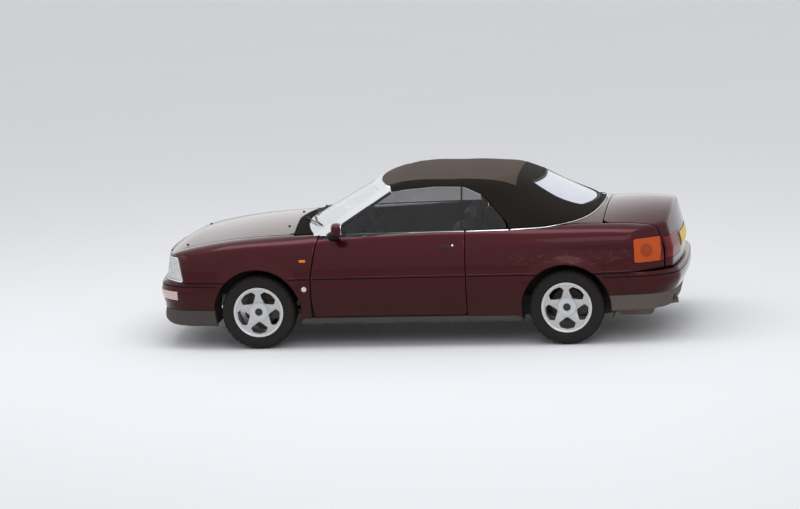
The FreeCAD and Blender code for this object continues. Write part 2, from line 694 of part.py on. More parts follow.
pan = shell[0].multiFuse(shell[1:] + [tunnel]).cut(tunnel_inside)


def wheelhouse(axle, inner_y, tower):
    """half drum round a wheel with its inner wall; the front one carries a tower for the strut"""
    drum = cylinder(point(axle, inner_y - wall, axle_height), point(0, 1, 0), liner_r + wall, 900 - inner_y + wall)
    hollow = cylinder(point(axle, inner_y, axle_height), point(0, 1, 0), liner_r, 1000 - inner_y)
    if tower:
        foot = along_strut(560)
        drum = drum.fuse(cylinder(foot, strut_line, 82, 270)).cut(block(axle - 500, axle + 500, 0, 448, 0, 480))
        hollow = hollow.fuse(cylinder(foot, strut_line, 74, 262))
    short = both_sides(block(1480, 2400, 770, FAR, 0, 575))
    short = short.fuse(both_sides(block(-2400, -1480, 760, FAR, 0, 610)))
    return drum.cut(short), hollow


front_drum, front_hollow = wheelhouse(front_axle, 448, True)
rear_drum, rear_hollow = wheelhouse(rear_axle, 508, False)
low_cut = block(-2500, 2500, -FAR, FAR, 0, 200)
for drum, hollow in ((front_drum, front_hollow), (rear_drum, rear_hollow)):
    pan = pan.fuse(both_sides(drum))
for drum, hollow in ((front_drum, front_hollow), (rear_drum, rear_hollow)):
    pan = pan.cut(both_sides(hollow))
beam_x = rear_axle + 250
beam_opening = block(beam_x - 50, beam_x + 200, 490, sill_in - 2, 0, axle_height + 12)
pan = pan.common(liner_form).cut(low_cut).cut(both_sides(beam_opening))
keep("floor_pan", pan)

# Seats.
front_seat = side_prism([
    (120, 305, 20), (150, 470, 50), (-260, 430, 60), (-420, 980, 45), (-520, 985, 45), (-400, 380, 60), (-370, 305, 20),
], size("seat_offset") - size("seat_width") / 2, size("seat_offset") + size("seat_width") / 2)
headrest = side_prism([(-425, 1000, 30), (-445, 1130, 35), (-520, 1130, 35), (-505, 985, 30)], size("seat_offset") - 130, size("seat_offset") + 130)
rails = block(-330, 100, size("seat_offset") - 200, size("seat_offset") - 160, floor_high + seat_gap, 306)
rails = rails.fuse(block(-330, 100, size("seat_offset") + 160, size("seat_offset") + 200, floor_high + seat_gap, 306))
posts = [cylinder(point(-474, size("seat_offset") + across, 940), point(0, 0, 1), 6, 90) for across in (-60, 60)]
front_seat = front_seat.multiFuse([headrest, rails] + posts)
keep("front_seats", both_sides(front_seat))
rear_seat = side_prism([
    (-640, REAR_FLOOR + seat_gap, 20), (-615, 480, 50), (-1000, 440, 60), (-1090, 905, 40),
    (-1175, 915, 30), (-1190, REAR_FLOOR + seat_gap, 0),
], -600, 600)
wheelhouse_round = cylinder(point(rear_axle, 499, axle_height), point(0, 1, 0), liner_r + wall + 1, 300)
keep("rear_seat", rear_seat.cut(both_sides(wheelhouse_round)))

# Dashboard, console and steering column.
WHEEL_CENTRE = point(440, -size("seat_offset"), 800)
column_tilt = math.radians(25)
column_line = point(-math.cos(column_tilt), 0, math.sin(column_tilt))
dash = side_prism([
    (FIREWALL - seat_gap, 620, 0), (FIREWALL - seat_gap, 850, 20), (860, 888, 30), (700, 868, 70), (600, 780, 60), (640, 610, 40),
], -sill_in + seat_gap, sill_in - seat_gap)
console = side_prism([(-260, 350 + seat_gap, 0), (-260, 470, 40), (380, 470, 60), (660, 640, 0), (760, 350 + seat_gap, 0)], -105, 105)
column = cylinder(WHEEL_CENTRE - column_line * 300, column_line, 34, 255)
dash = dash.multiFuse([console, column])
shaft_bore = cylinder(WHEEL_CENTRE - column_line * 120, column_line, 10, 200)
keep("dashboard", dash.cut(shaft_bore))

# Engine, plain, at its real place.
engine = doc.addObject("Part::Box", "engine_block")
engine.Label = "engine_block"
engine.Length, engine.Width, engine.Height = 560, 460, 460
engine.Placement = FreeCAD.Placement(point(1370, -230, 260), FreeCAD.Rotation())
pieces.append(engine)

# Front subframe and lower arms; the struts turn with the knuckles.
arm_end = along_strut(182)
BALL_RADIUS = 9


def arm_shape():
    inner = 300
    plate = plan_prism([
        (front_axle - 120, inner, 0), (front_axle + 60, inner, 0), (front_axle + 34, arm_end.y + 14, 26),
        (front_axle - 34, arm_end.y + 14, 26),
    ], 140, 162)
    return plate.cut(cylinder(along_strut(100), strut_line, BALL_RADIUS + 0.2, 200))


subframe = block(front_axle - 140, front_axle + 170, -305, 305, 150, 200)
engine_mounts = [block(front_axle + 90, front_axle + 150, side * 170 - 30, side * 170 + 30, 190, 260 - seat_gap)
                 for side in (1, -1)]
posts = [block(front_axle - 140, front_axle - 60, side * 400 - 20, side * 400 + 20, 198, 400 - seat_gap) for side in (1, -1)]
beams = [block(front_axle - 140, front_axle - 60, min(side * 300, side * 420), max(side * 300, side * 420), 185, 225) for side in (1, -1)]
subframe = subframe.multiFuse(posts + beams + engine_mounts + [arm_shape(), mirrored(arm_shape())])
keep("front_subframe", subframe)

# Knuckle, strut and brake caliper in one piece that turns for the steering.
wheel_y = size("wheel_plane")
disc_y = wheel_y - 48
disc_half = size("disc_thickness") / 2


def knuckle_shape():
    body = side_prism([
        (front_axle - 40, 200, 15), (front_axle + 40, 200, 15), (front_axle + 34, 410, 20), (front_axle - 34, 410, 20),
    ], 596, 640)
    strut = cylinder(along_strut(400), strut_line, 26, 424.6)
    spring = cylinder(along_strut(640), strut_line, 60, 150)
    pin = cylinder(along_strut(138), strut_line, BALL_RADIUS, 82)
    spindle = cylinder(point(front_axle, 600, axle_height), point(0, 1, 0), size("spindle_radius"), 178)
    arm = block(front_axle - 30, front_axle + 30, 570, 640, 380, 430)
    return body.multiFuse([strut, spring, pin, spindle, arm])


def caliper(axle):
    """clasp over the front edge of the brake disc"""
    reach = size("disc_radius")
    ring = cylinder(point(axle, disc_y - 42, axle_height), point(0, 1, 0), reach + 26, 84)
    ring = ring.cut(cylinder(point(axle, disc_y - 60, axle_height), point(0, 1, 0), reach - 44, 120))
    slot = cylinder(point(axle, disc_y - disc_half - 5, axle_height), point(0, 1, 0), reach + 6, 2 * disc_half + 10)
    sector = block(axle - 300, axle - 60, 500, 900, axle_height - 70, axle_height + 70)
    return ring.cut(slot).common(sector)


knuckle = knuckle_shape()
bridge = block(front_axle - 110, front_axle - 20, disc_y - 60, disc_y - 36, axle_height - 40, axle_height + 40)
knuckle = knuckle.multiFuse([bridge, caliper(front_axle)])
keep("knuckle_left", knuckle)
keep("knuckle_right", mirrored(knuckle))

# Rear axle: cross beam, trailing arms, stub axles, dampers and calipers.
rear_parts = []
for side in (1, -1):
    def across(x_low, x_high, y_low, y_high, z_low, z_high, side=side):
        shape = block(x_low, x_high, y_low, y_high, z_low, z_high)
        return shape if side == 1 else mirrored(shape)

    rear_parts.append(across(rear_axle - 45, beam_x + 160, 545, 590, axle_height - 55, axle_height - 5))
    rear_parts.append(across(rear_axle - 45, rear_axle + 45, 545, 640, axle_height - 55, axle_height + 50))
    stub = cylinder(point(rear_axle, side * 600, axle_height), point(0, side, 0), size("spindle_radius"), 178)
    damper = cylinder(point(rear_axle - 20, side * 568, axle_height), point(0, 0, 1), 24, liner_r - 3)
    clasp = caliper(rear_axle).fuse(block(rear_axle - 110, rear_axle - 20, disc_y - 60, disc_y - 36, axle_height - 40, axle_height + 40))
    rear_parts += [stub, damper, clasp if side == 1 else mirrored(clasp)]
cross = cylinder(point(beam_x, -560, axle_height - 35), point(0, 1, 0), 30, 1120)
keep("rear_axle", cross.multiFuse(rear_parts))

tank = doc.addObject("Part::Box", "fuel_tank")
tank.Label = "fuel_tank"
tank.Length, tank.Width, tank.Height = 300, 760, 120
tank.Placement = FreeCAD.Placement(point(-1560, -380, REAR_FLOOR - 20 - 120.3), FreeCAD.Rotation())
pieces.append(tank)

# Exhaust: pipe along the tunnel, rear silencer and tail pipe.
PIPE = 26
runs = [
    point(1130, 90, 185), point(800, 0, 165), point(-700, 0, 165), point(-900, 180, 165), point(-1230, 440, 175),
    point(-1480, 440, 200), point(-1690, 440, 228),
]


def pipe(points, radius, bend):
    """straight runs joined by tangent arcs, swept with a round section"""
    edges = []
    start = points[0]
    for index in range(1, len(points) - 1):
        here = points[index]
        back = (points[index - 1] - here).normalize()
        ahead = (points[index + 1] - here).normalize()
        half = back.getAngle(ahead) / 2
        reach = bend / math.tan(half)
        middle = here + (back + ahead).normalize() * (bend / math.sin(half) - bend)
        edges.append(Part.LineSegment(start, here + back * reach).toShape())
        edges.append(Part.Arc(here + back * reach, middle, here + ahead * reach).toShape())
        start = here + ahead * reach
    edges.append(Part.LineSegment(start, points[-1]).toShape())
    path = Part.Wire(edges)
    ring = Part.Wire(Part.Circle(points[0], points[1] - points[0], radius).toShape())
    return path.makePipeShell([ring], True, False)


silencer = side_prism([(-1940, 185, 40), (-1650, 185, 40), (-1650, 300, 40), (-1940, 300, 40)], 280, 530)
tip = cylinder(point(-1915, 440, 257), point(-1, 0, 0.15), 24, 222)
hangers = [
    block(-1820, -1780, 395, 415, 280, REAR_FLOOR - 20 - seat_gap),
    block(-310, -290, -10, 10, 175, 330 - seat_gap),
]
exhaust = pipe(runs, PIPE, 150).multiFuse([silencer, tip] + hangers)
keep("exhaust", exhaust)

# Mirrors on the doors.
mirror_body = plan_prism([(570, 800, 20), (650, 810, 30), (632, 952, 45), (556, 952, 25)], 945, 1058)
mirror_foot = plan_prism([(600, 730, 10), (720, 735, 10), (650, 850, 10), (590, 850, 10)], 884, 962)
door_mirror = mirror_body.fuse(mirror_foot).cut(outer_plus)
door_mirror = door_mirror.cut(side_prism([(-500, 0, 0), (1200, 0, 0), (1200, 860, 0), (-500, 860, 0)], 0, FAR))
glass_guard = cross_prism([
    (0, 0, 0), (775, 0, 0), (775, 900, 0), (757, 930, 0), (612, 1255, 0), (0, 1255, 0),
], 0, 1200)
door_mirror = door_mirror.cut(glass_guard)
keep("mirror_left", door_mirror)
keep("mirror_right", mirrored(door_mirror))


# Wheels: tyre and rim turned about the axle, five spokes, bolt holes.
def plane_of(body, role):
    return [f for f in body.Origin.OriginFeatures if f.Role == role][0]


def section_sketch(body, name, role, corners):
    """closed outline of straight runs; a corner is a pair of expressions in the named sizes"""
    sketch = body.newObject("Sketcher::SketchObject", name)
    sketch.AttachmentSupport = (plane_of(body, role), [""])
    sketch.MapMode = "FlatFace"
    spots = [(evaluate(u), evaluate(v)) for u, v in corners]
    for index, (u, v) in enumerate(spots):
        after = spots[(index + 1) % len(spots)]
        sketch.addGeometry(Part.LineSegment(point(u, v, 0), point(after[0], after[1], 0)), False)
    for index in range(len(spots)):
        following = (index + 1) % len(spots)
        sketch.addConstraint(Sketcher.Constraint("Coincident", index, 2, following, 1))
    for index, (u, v) in enumerate(corners):
        for kind, expression, value in (("DistanceX", u, spots[index][0]), ("DistanceY", v, spots[index][1])):
            number = sketch.addConstraint(Sketcher.Constraint(kind, -1, 1, index, 1, value))
            sketch.setExpression(f"Constraints[{number}]", bound(expression))
    return sketch


def bound(expression):
    """the expression with each named size read from the sheet"""
    words = re.split(r"([a-z_]+)", expression)
    return "".join("Sizes." + word if word in NAMES else word for word in words)


def evaluate(expression):
    total = re.sub(r"[a-z_]+", lambda word: repr(size(word.group())), expression)
    return float(FreeCAD.Units.Quantity(total).Value)


TYRE = [
    ("rim_radius - 14", "rim_depth / 2 - 8"), ("rim_radius + 0.3", "rim_depth / 2 - 8"),
    ("rim_radius + 4", "tyre_width / 2 - 8"), ("tyre_radius - 46", "tyre_width / 2"),
    ("tyre_radius - 12", "tyre_width / 2 - 10"), ("tyre_radius", "tyre_width / 2 - 30"),
    ("tyre_radius", "30 - tyre_width / 2"), ("tyre_radius - 12", "10 - tyre_width / 2"), ("tyre_radius - 46", "-tyre_width / 2"),
    ("rim_radius + 4", "8 - tyre_width / 2"), ("rim_radius + 0.3", "8 - rim_depth / 2"),
    ("rim_radius - 14", "8 - rim_depth / 2"), ("rim_radius - 14", "32 - rim_depth / 2"),
    ("rim_radius + 10", "22 - tyre_width / 2"), ("tyre_radius - 46", "16 - tyre_width / 2"), ("tyre_radius - 18", "30 - tyre_width / 2"),
    ("tyre_radius - 18", "tyre_width / 2 - 30"), ("tyre_radius - 46", "tyre_width / 2 - 16"), ("rim_radius + 10", "tyre_width / 2 - 22"),
    ("rim_radius - 14", "rim_depth / 2 - 32"),
]
RIM = [
    ("rim_radius", "rim_depth / 2"), ("rim_radius", "rim_depth / 2 - 7.7"), ("rim_radius - 14.3", "rim_depth / 2 - 7.7"),
    ("rim_radius - 14.3", "7.7 - rim_depth / 2"), ("rim_radius", "7.7 - rim_depth / 2"), ("rim_radius", "-rim_depth / 2"),
    ("rim_radius - 22", "-rim_depth / 2"), ("rim_radius - 22", "36"), ("76", "30"), ("76", "disc_thickness / 2 - 48"),
    ("disc_radius", "disc_thickness / 2 - 48"), ("disc_radius", "-48 - disc_thickness / 2"), ("66", "-48 - disc_thickness / 2"),
    ("66", "20"), ("spindle_radius + bearing_clearance", "20"), ("spindle_radius + bearing_clearance", "62"), ("60", "62"),
    ("rim_radius - 30", "76"), ("rim_radius - 22", "rim_depth / 2"),
]
WINDOW_BETWEEN_SPOKES = [
    ("82", "-12"), ("rim_radius - 59", "-70"), ("rim_radius - 39", "-36"),
    ("rim_radius - 39", "36"), ("rim_radius - 59", "70"), ("82", "12"),
]
SPOKES = 5
NAMES = {alias for alias, value, note in SIZES}


def turned(body, sketch):
    """full turn of the sketch about the body's own axis"""
    revolution = body.newObject("PartDesign::Revolution", body.Name + "_turn")
    revolution.Profile = sketch
    revolution.ReferenceAxis = (sketch, ["V_Axis"])
    revolution.Angle = 360
    sketch.Visibility = False
    return revolution


def pocket_round(body, sketch, name):
    """cuts outward from the wheel's middle plane, repeated round the axle"""
    pocket = body.newObject("PartDesign::Pocket", name)
    pocket.Profile = sketch
    pocket.Reversed = True
    pocket.Length = 120
    pattern = body.newObject("PartDesign::PolarPattern", name + "_round")
    pattern.Originals = [pocket]
    pattern.Axis = (sketch, ["N_Axis"])
    pattern.Angle = 360
    pattern.Occurrences = SPOKES
    body.Tip = pattern
    return pattern


WHEELS = [
    # name, axle, side, turn about the axle that points a spoke upwards
    ("front_left", front_axle, 1, -54),
    ("front_right", front_axle, -1, -18),
    ("rear_left", rear_axle, 1, -54),
    ("rear_right", rear_axle, -1, -18),
]
for name, axle, side, spin in WHEELS:
    stand = FreeCAD.Rotation(point(1, 0, 0), -90 * side).multiply(FreeCAD.Rotation(point(0, 0, 1), spin))
    where = FreeCAD.Placement(point(axle, side * wheel_y, axle_height), stand)
    tyre = doc.addObject("PartDesign::Body", "tyre_" + name)
    tyre.Label = "tyre_" + name
    turned(tyre, section_sketch(tyre, "tyre_section_" + name, "XZ_Plane", TYRE))
    tyre.Placement = where
    rim = doc.addObject("PartDesign::Body", "rim_" + name)
    rim.Label = "rim_" + name
    turned(rim, section_sketch(rim, "rim_section_" + name, "XZ_Plane", [(f"-({u})", v) for u, v in RIM]))
    window = section_sketch(rim, "rim_window_" + name, "XY_Plane", WINDOW_BETWEEN_SPOKES)
    pocket_round(rim, window, "windows_" + name)
    holes = rim.newObject("Sketcher::SketchObject", "bolt_hole_" + name)
    holes.AttachmentSupport = (plane_of(rim, "XY_Plane"), [""])
    holes.MapMode = "FlatFace"
    holes.addGeometry(Part.Circle(point(size("bolt_circle_radius"), 0, 0), point(0, 0, 1), size("bolt_hole_radius")), False)
    hole_size = holes.addConstraint(Sketcher.Constraint("Radius", 0, size("bolt_hole_radius")))
    holes.setExpression(f"Constraints[{hole_size}]", "Sizes.bolt_hole_radius")
    hole_place = holes.addConstraint(Sketcher.Constraint("DistanceX", -1, 1, 0, 3, size("bolt_circle_radius")))
    holes.setExpression(f"Constraints[{hole_place}]", "Sizes.bolt_circle_radius")
    holes.addConstraint(Sketcher.Constraint("PointOnObject", 0, 3, -1))
    pocket_round(rim, holes, "bolt_holes_" + name)
    rim.Placement = where
    pieces += [tyre, rim]

# Steering wheel: rim, hub, four spokes and the shaft that turns in the column.
wheel_radius = size("wheel_rim_radius")
steering = Part.makeTorus(wheel_radius, 15, WHEEL_CENTRE, column_line)
hub = cylinder(WHEEL_CENTRE - column_line * 38, column_line, 70, 40)
shaft = cylinder(WHEEL_CENTRE - column_line * 110, column_line, 9.9, 90)
turn_axis = FreeCAD.Rotation(point(0, 0, 1), column_line)
spokes = []
for angle in (20, 160, 250, 290):
    bar = Part.makeBox(wheel_radius - 50, 30, 14, point(45, -15, -22))
    bar.rotate(point(0, 0, 0), point(0, 0, 1), angle)
    bar.Placement = FreeCAD.Placement(WHEEL_CENTRE, turn_axis).multiply(bar.Placement)
    spokes.append(bar)
keep("steering_wheel", steering.multiFuse([hub, shaft] + spokes))

doc.recompute()
for thing in doc.Objects:
    if "Invalid" in thing.State or "Error" in thing.State:
        sys.exit(f"{thing.Name} failed: {thing.State}")
os.makedirs("parts", exist_ok=True)
for piece in pieces:
    shape = piece.Shape
    if shape.isNull() or not shape.isValid() or shape.Volume <= 0:
        sys.exit(f"{piece.Label} is not a sound solid")
    print(f"{piece.Label:20s} solids {len(shape.Solids)}  litres {shape.Volume / 1e6:8.3f}")
    shape.exportStep(os.path.join("parts", piece.Label + ".step"))
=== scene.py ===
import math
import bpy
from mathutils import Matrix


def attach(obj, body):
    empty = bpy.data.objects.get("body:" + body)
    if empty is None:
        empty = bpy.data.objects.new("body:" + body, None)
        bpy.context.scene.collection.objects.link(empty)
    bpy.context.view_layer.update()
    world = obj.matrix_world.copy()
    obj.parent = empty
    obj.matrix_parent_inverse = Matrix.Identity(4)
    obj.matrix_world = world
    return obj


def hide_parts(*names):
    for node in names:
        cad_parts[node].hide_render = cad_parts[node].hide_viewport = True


bl_info = {
    "name": "Convertible Car",
    "version": (1, 0, 0),
    "blender": (4, 5, 0),
    "location": "3D View > Sidebar > Convertible",
    "description": "Dresses the packed convertible car with its panels, roof, glass, wheels and cabin",
    "category": "Object",
}

import bmesh
import bpy
import numpy as np
from mathutils import Matrix, Vector
from mathutils.geometry import delaunay_2d_cdt

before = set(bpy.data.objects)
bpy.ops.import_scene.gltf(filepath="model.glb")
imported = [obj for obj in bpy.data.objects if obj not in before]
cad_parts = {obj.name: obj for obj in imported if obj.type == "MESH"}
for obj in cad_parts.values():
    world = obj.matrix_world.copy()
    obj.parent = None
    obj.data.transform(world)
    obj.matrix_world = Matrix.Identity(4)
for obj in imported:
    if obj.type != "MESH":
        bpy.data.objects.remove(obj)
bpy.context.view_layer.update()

# Everything is in metres: +X forward, +Y the car's left, +Z up.
FRONT_AXLE = 1.303
REAR_AXLE = -1.253
AXLE_HEIGHT = 0.308
WHEEL_PLANE = 0.722
ARCH_RADIUS = 0.366
PANEL_GAP = 0.006

# The longest ray inside the car, grid points tested at once, and how many grid steps they keep from an edge.
FAR = 1.6
GRID_CHUNK = 2000
EDGE_CLEARANCE = 0.55


# Forms.
def spline(stations, values):
    """natural cubic through the stations; straight on beyond them"""
    stations = np.asarray(stations, float)
    values = np.asarray(values, float)
    count = len(stations)
    width = np.diff(stations)
    slope = np.diff(values, axis=0) / width.reshape(-1, *([1] * (values.ndim - 1)))
    matrix = np.eye(count)
    right = np.zeros_like(values)
    for row in range(1, count - 1):
        matrix[row, row - 1:row + 2] = width[row - 1], 2 * (width[row - 1] + width[row]), width[row]
        right[row] = 6 * (slope[row] - slope[row - 1])
    bend = np.linalg.solve(matrix, right.reshape(count, -1)).reshape(values.shape)

    def at(where):
        where = np.asarray(where, float)
        row = np.clip(np.searchsorted(stations, where) - 1, 0, count - 2)
        shape = where.shape + (1,) * (values.ndim - 1)
        step = width[row].reshape(shape)
        after = (where - stations[row]).reshape(shape)
        before = step - after
        return (
            bend[row] * before ** 3 / (6 * step)
            + bend[row + 1] * after ** 3 / (6 * step)
            + (values[row] / step - bend[row] * step / 6) * before
            + (values[row + 1] / step - bend[row + 1] * step / 6) * after
        )

    return at


def arc(start, middle, end, count):
    """points of the circle through three, ends included"""
    (ax, ay), (bx, by), (cx, cy) = start, middle, end
    turn = 2 * (ax * (by - cy) + bx * (cy - ay) + cx * (ay - by))
    if abs(turn) < 1e-9:
        return np.linspace(start, end, count)
    a2, b2, c2 = ax * ax + ay * ay, bx * bx + by * by, cx * cx + cy * cy
    x = (a2 * (by - cy) + b2 * (cy - ay) + c2 * (ay - by)) / turn
    y = (a2 * (cx - bx) + b2 * (ax - cx) + c2 * (bx - ax)) / turn
    radius = math.hypot(ax - x, ay - y)
    first = math.atan2(ay - y, ax - x)
    via = (math.atan2(by - y, bx - x) - first) % (2 * math.pi)
    last = (math.atan2(cy - y, cx - x) - first) % (2 * math.pi)
    if via > last:
        last -= 2 * math.pi
    angles = first + np.linspace(0, last, count)
    return np.stack([x + radius * np.cos(angles), y + radius * np.sin(angles)], 1)


def softened(values, reach, axis):
    """gaussian average over a number of samples"""
    span = int(3 * reach) + 1
    weights = np.exp(-0.5 * (np.arange(-span, span + 1) / reach) ** 2)
    weights /= weights.sum()
    padded = np.pad(values, [(span, span) if k == axis else (0, 0) for k in range(values.ndim)], "edge")
    return sum(w * np.take(padded, range(k, k + values.shape[axis]), axis) for k, w in enumerate(weights))


def ramp(share):
    share = np.clip(share, 0, 1)
    return share * share * (3 - 2 * share)


def around(line, angles):
    """an outline as its distance from the origin, by angle"""
    return np.interp(angles, np.arctan2(line[:, 1], line[:, 0]), np.hypot(line[:, 0], line[:, 1]))


def two_way(table, rows, columns, row, column):
    """a table read between its rows and columns"""
    r = np.clip((row - rows[0]) / (rows[1] - rows[0]), 0, len(rows) - 1.001)
    c = np.clip((column - columns[0]) / (columns[1] - columns[0]), 0, len(columns) - 1.001)
    i, j = r.astype(int), c.astype(int)
    u, v = r - i, c - j
    return (table[i, j] * (1 - u) * (1 - v) + table[i + 1, j] * u * (1 - v)
            + table[i, j + 1] * (1 - u) * v + table[i + 1, j + 1] * u * v)


def joined(first, second, radius):
    """the inside of both forms, with a rounded edge where they meet"""
    a, b = first + radius, second + radius
    return np.minimum(np.maximum(a, b), 0) + np.hypot(np.maximum(a, 0), np.maximum(b, 0)) - radius


class Body:
    """The car's painted form as a signed value: below 0 is inside."""

    SECTIONS = np.array([
        # x, middle height, edge half width, edge height, crease half width, crease height, widest, bulge
        (-2.230, 1.040, 0.615, 0.893, 0.740, 0.770, 0.760, 0.15),
        (-1.930, 1.075, 0.665, 0.957, 0.800, 0.782, 0.815, 0.20),
        (-1.560, 1.065, 0.695, 0.980, 0.832, 0.790, 0.850, 0.20),
        (-0.450, 1.000, 0.752, 0.953, 0.840, 0.785, 0.858, 0.08),
        (0.950, 0.962, 0.700, 0.925, 0.838, 0.765, 0.856, 0.14),
        (1.400, 0.932, 0.655, 0.902, 0.838, 0.742, 0.852, 0.20),
        (1.850, 0.868, 0.640, 0.838, 0.810, 0.715, 0.822, 0.20),
        (2.060, 0.800, 0.600, 0.765, 0.775, 0.690, 0.790, 0.18),
        (2.230, 0.660, 0.560, 0.632, 0.750, 0.602, 0.760, 0.10),
    ])
    CENTRE_HEIGHT = 0.60
    FLARE = 0.017
    FLARE_REACH = 0.085
    END_ROUNDING = 0.03
    LEAN_HEIGHTS = (0.14, 0.75, 1.10)

    def __init__(self, inset=0.0):
        self.inset = inset
        self.stations = np.linspace(-2.3, 2.3, 461)
        self.angles = np.radians(np.linspace(-60, 90, 901))
        rows = spline(self.SECTIONS[:, 0], self.SECTIONS[:, 1:])(self.stations)
        table = np.array([self.section(row) for row in rows])
        self.table = softened(table, 6, 1)
        self.nose = self.end_profile((0.0, 2.152), (0.600, 2.086), (0.742, 1.976), (0.868, 1.800))
        self.tail = self.end_profile((0.0, 2.168), (0.580, 2.118), (0.705, 1.990), (0.868, 1.715))

    def section(self, row):
        top, edge_y, edge_z, crease_y, crease_z, wide, bulge = row
        edge, crease = (edge_y, edge_z), (crease_y, crease_z)
        tuck = (wide - 0.030, 0.330)
        shoulder = (
            (edge_y + crease_y) / 2 - (crease_z - edge_z) * bulge,
            (edge_z + crease_z) / 2 + (crease_y - edge_y) * bulge,
        )
        outline = np.concatenate([
            np.array([(wide - 0.062 - 0.03, 0.05), (wide - 0.062, 0.190)]),
            arc(tuck, (wide, 0.550), crease, 80),
            arc(crease, shoulder, edge, 30)[1:],
            arc(edge, (0, top), (-edge_y, edge_z), 121)[1:61],
        ])
        return around(outline - (0, self.CENTRE_HEIGHT), self.angles)

    def end_profile(self, middle, corner, turn, side):
        swapped = arc((-corner[0], corner[1]), middle, corner, 201)[100:]
        bend = arc(corner, turn, side, 100)[1:]
        line = np.concatenate([swapped, bend, [(0.95, 0.8)]])
        half = np.linspace(0, 0.95, 400)
        reach = softened(np.interp(half, line[:, 0], line[:, 1]), 5, 0)
        return half, reach, np.sqrt(1 + np.gradient(reach, half) ** 2)

    def flare(self, x, z):
        """how far the lips of the wheel arches stand out"""
        out = 0
        for axle in (FRONT_AXLE, REAR_AXLE):
            away = np.hypot(x - axle, z - AXLE_HEIGHT) - ARCH_RADIUS
            share = np.clip(1 - away / self.FLARE_REACH, 0, 1)
            soft = np.where(share < 0.2, share * share * 2.5, share - 0.1) / 0.9
            out = out + self.FLARE * soft * ramp((z - 0.30) / 0.2) * (z < 0.95)
        return out

    def __call__(self, points):
        x, y, z = points[..., 0], np.abs(points[..., 1]), points[..., 2]
        y_flat = y - self.flare(x, z)
        up = z - self.CENTRE_HEIGHT
        out = np.maximum(y_flat, 0.0)
        value = np.hypot(out, up) - two_way(self.table, self.stations, self.angles, x, np.arctan2(up, out))
        for way, (half, ends, steep), lean in ((1, self.nose, (0.075, -0.016, -0.068)),
                                               (-1, self.tail, (-0.030, 0.0, -0.082))):
            shift = np.interp(z, self.LEAN_HEIGHTS, lean)
            end = (way * x - shift - np.interp(y, half, ends)) / np.interp(y, half, steep)
            value = joined(value, end, self.END_ROUNDING)
        return value + self.inset


class Cover:
    """A bumper's form from outlines in plan, one for each height; way is 1 at the nose, -1 at the tail."""

    PIVOT = 1.2
    NO_PROFILE = ((0, 0), (1, 0))

    def __init__(self, levels, way, profile=NO_PROFILE, inset=0.0):
        self.way, self.inset = way, inset
        self.profile = np.array(profile, float)
        self.heights = np.linspace(levels[0][0], levels[-1][0], 60)
        self.angles = np.radians(np.linspace(0, 110, 551))
        rows = spline([row[0] for row in levels], [row[1:] for row in levels])(self.heights)
        self.table = softened(np.array([self.outline(row) for row in rows]), 4, 1)

    def outline(self, row):
        middle, corner_x, corner_y, turn_x, turn_y, flank_y = row
        corner, shoulder = (corner_x, corner_y), (1.8, flank_y - 0.044)
        line = np.concatenate([
            arc((corner_x, -corner_y), (middle, 0), corner, 161)[80:],
            arc(corner, (turn_x, turn_y), shoulder, 80)[1:],
            arc(shoulder, (1.6, flank_y - 0.011), (1.4, flank_y), 40)[1:],
            [(0.9, flank_y)],
        ])
        return around(line - (self.PIVOT, 0), self.angles)

    def __call__(self, points):
        x, y = points[..., 0] * self.way - self.PIVOT, np.abs(points[..., 1])
        reach = two_way(self.table, self.heights, self.angles, points[..., 2], np.arctan2(y, x))
        return np.hypot(x, y) - reach + self.inset + np.interp(points[..., 2], *self.profile.T)


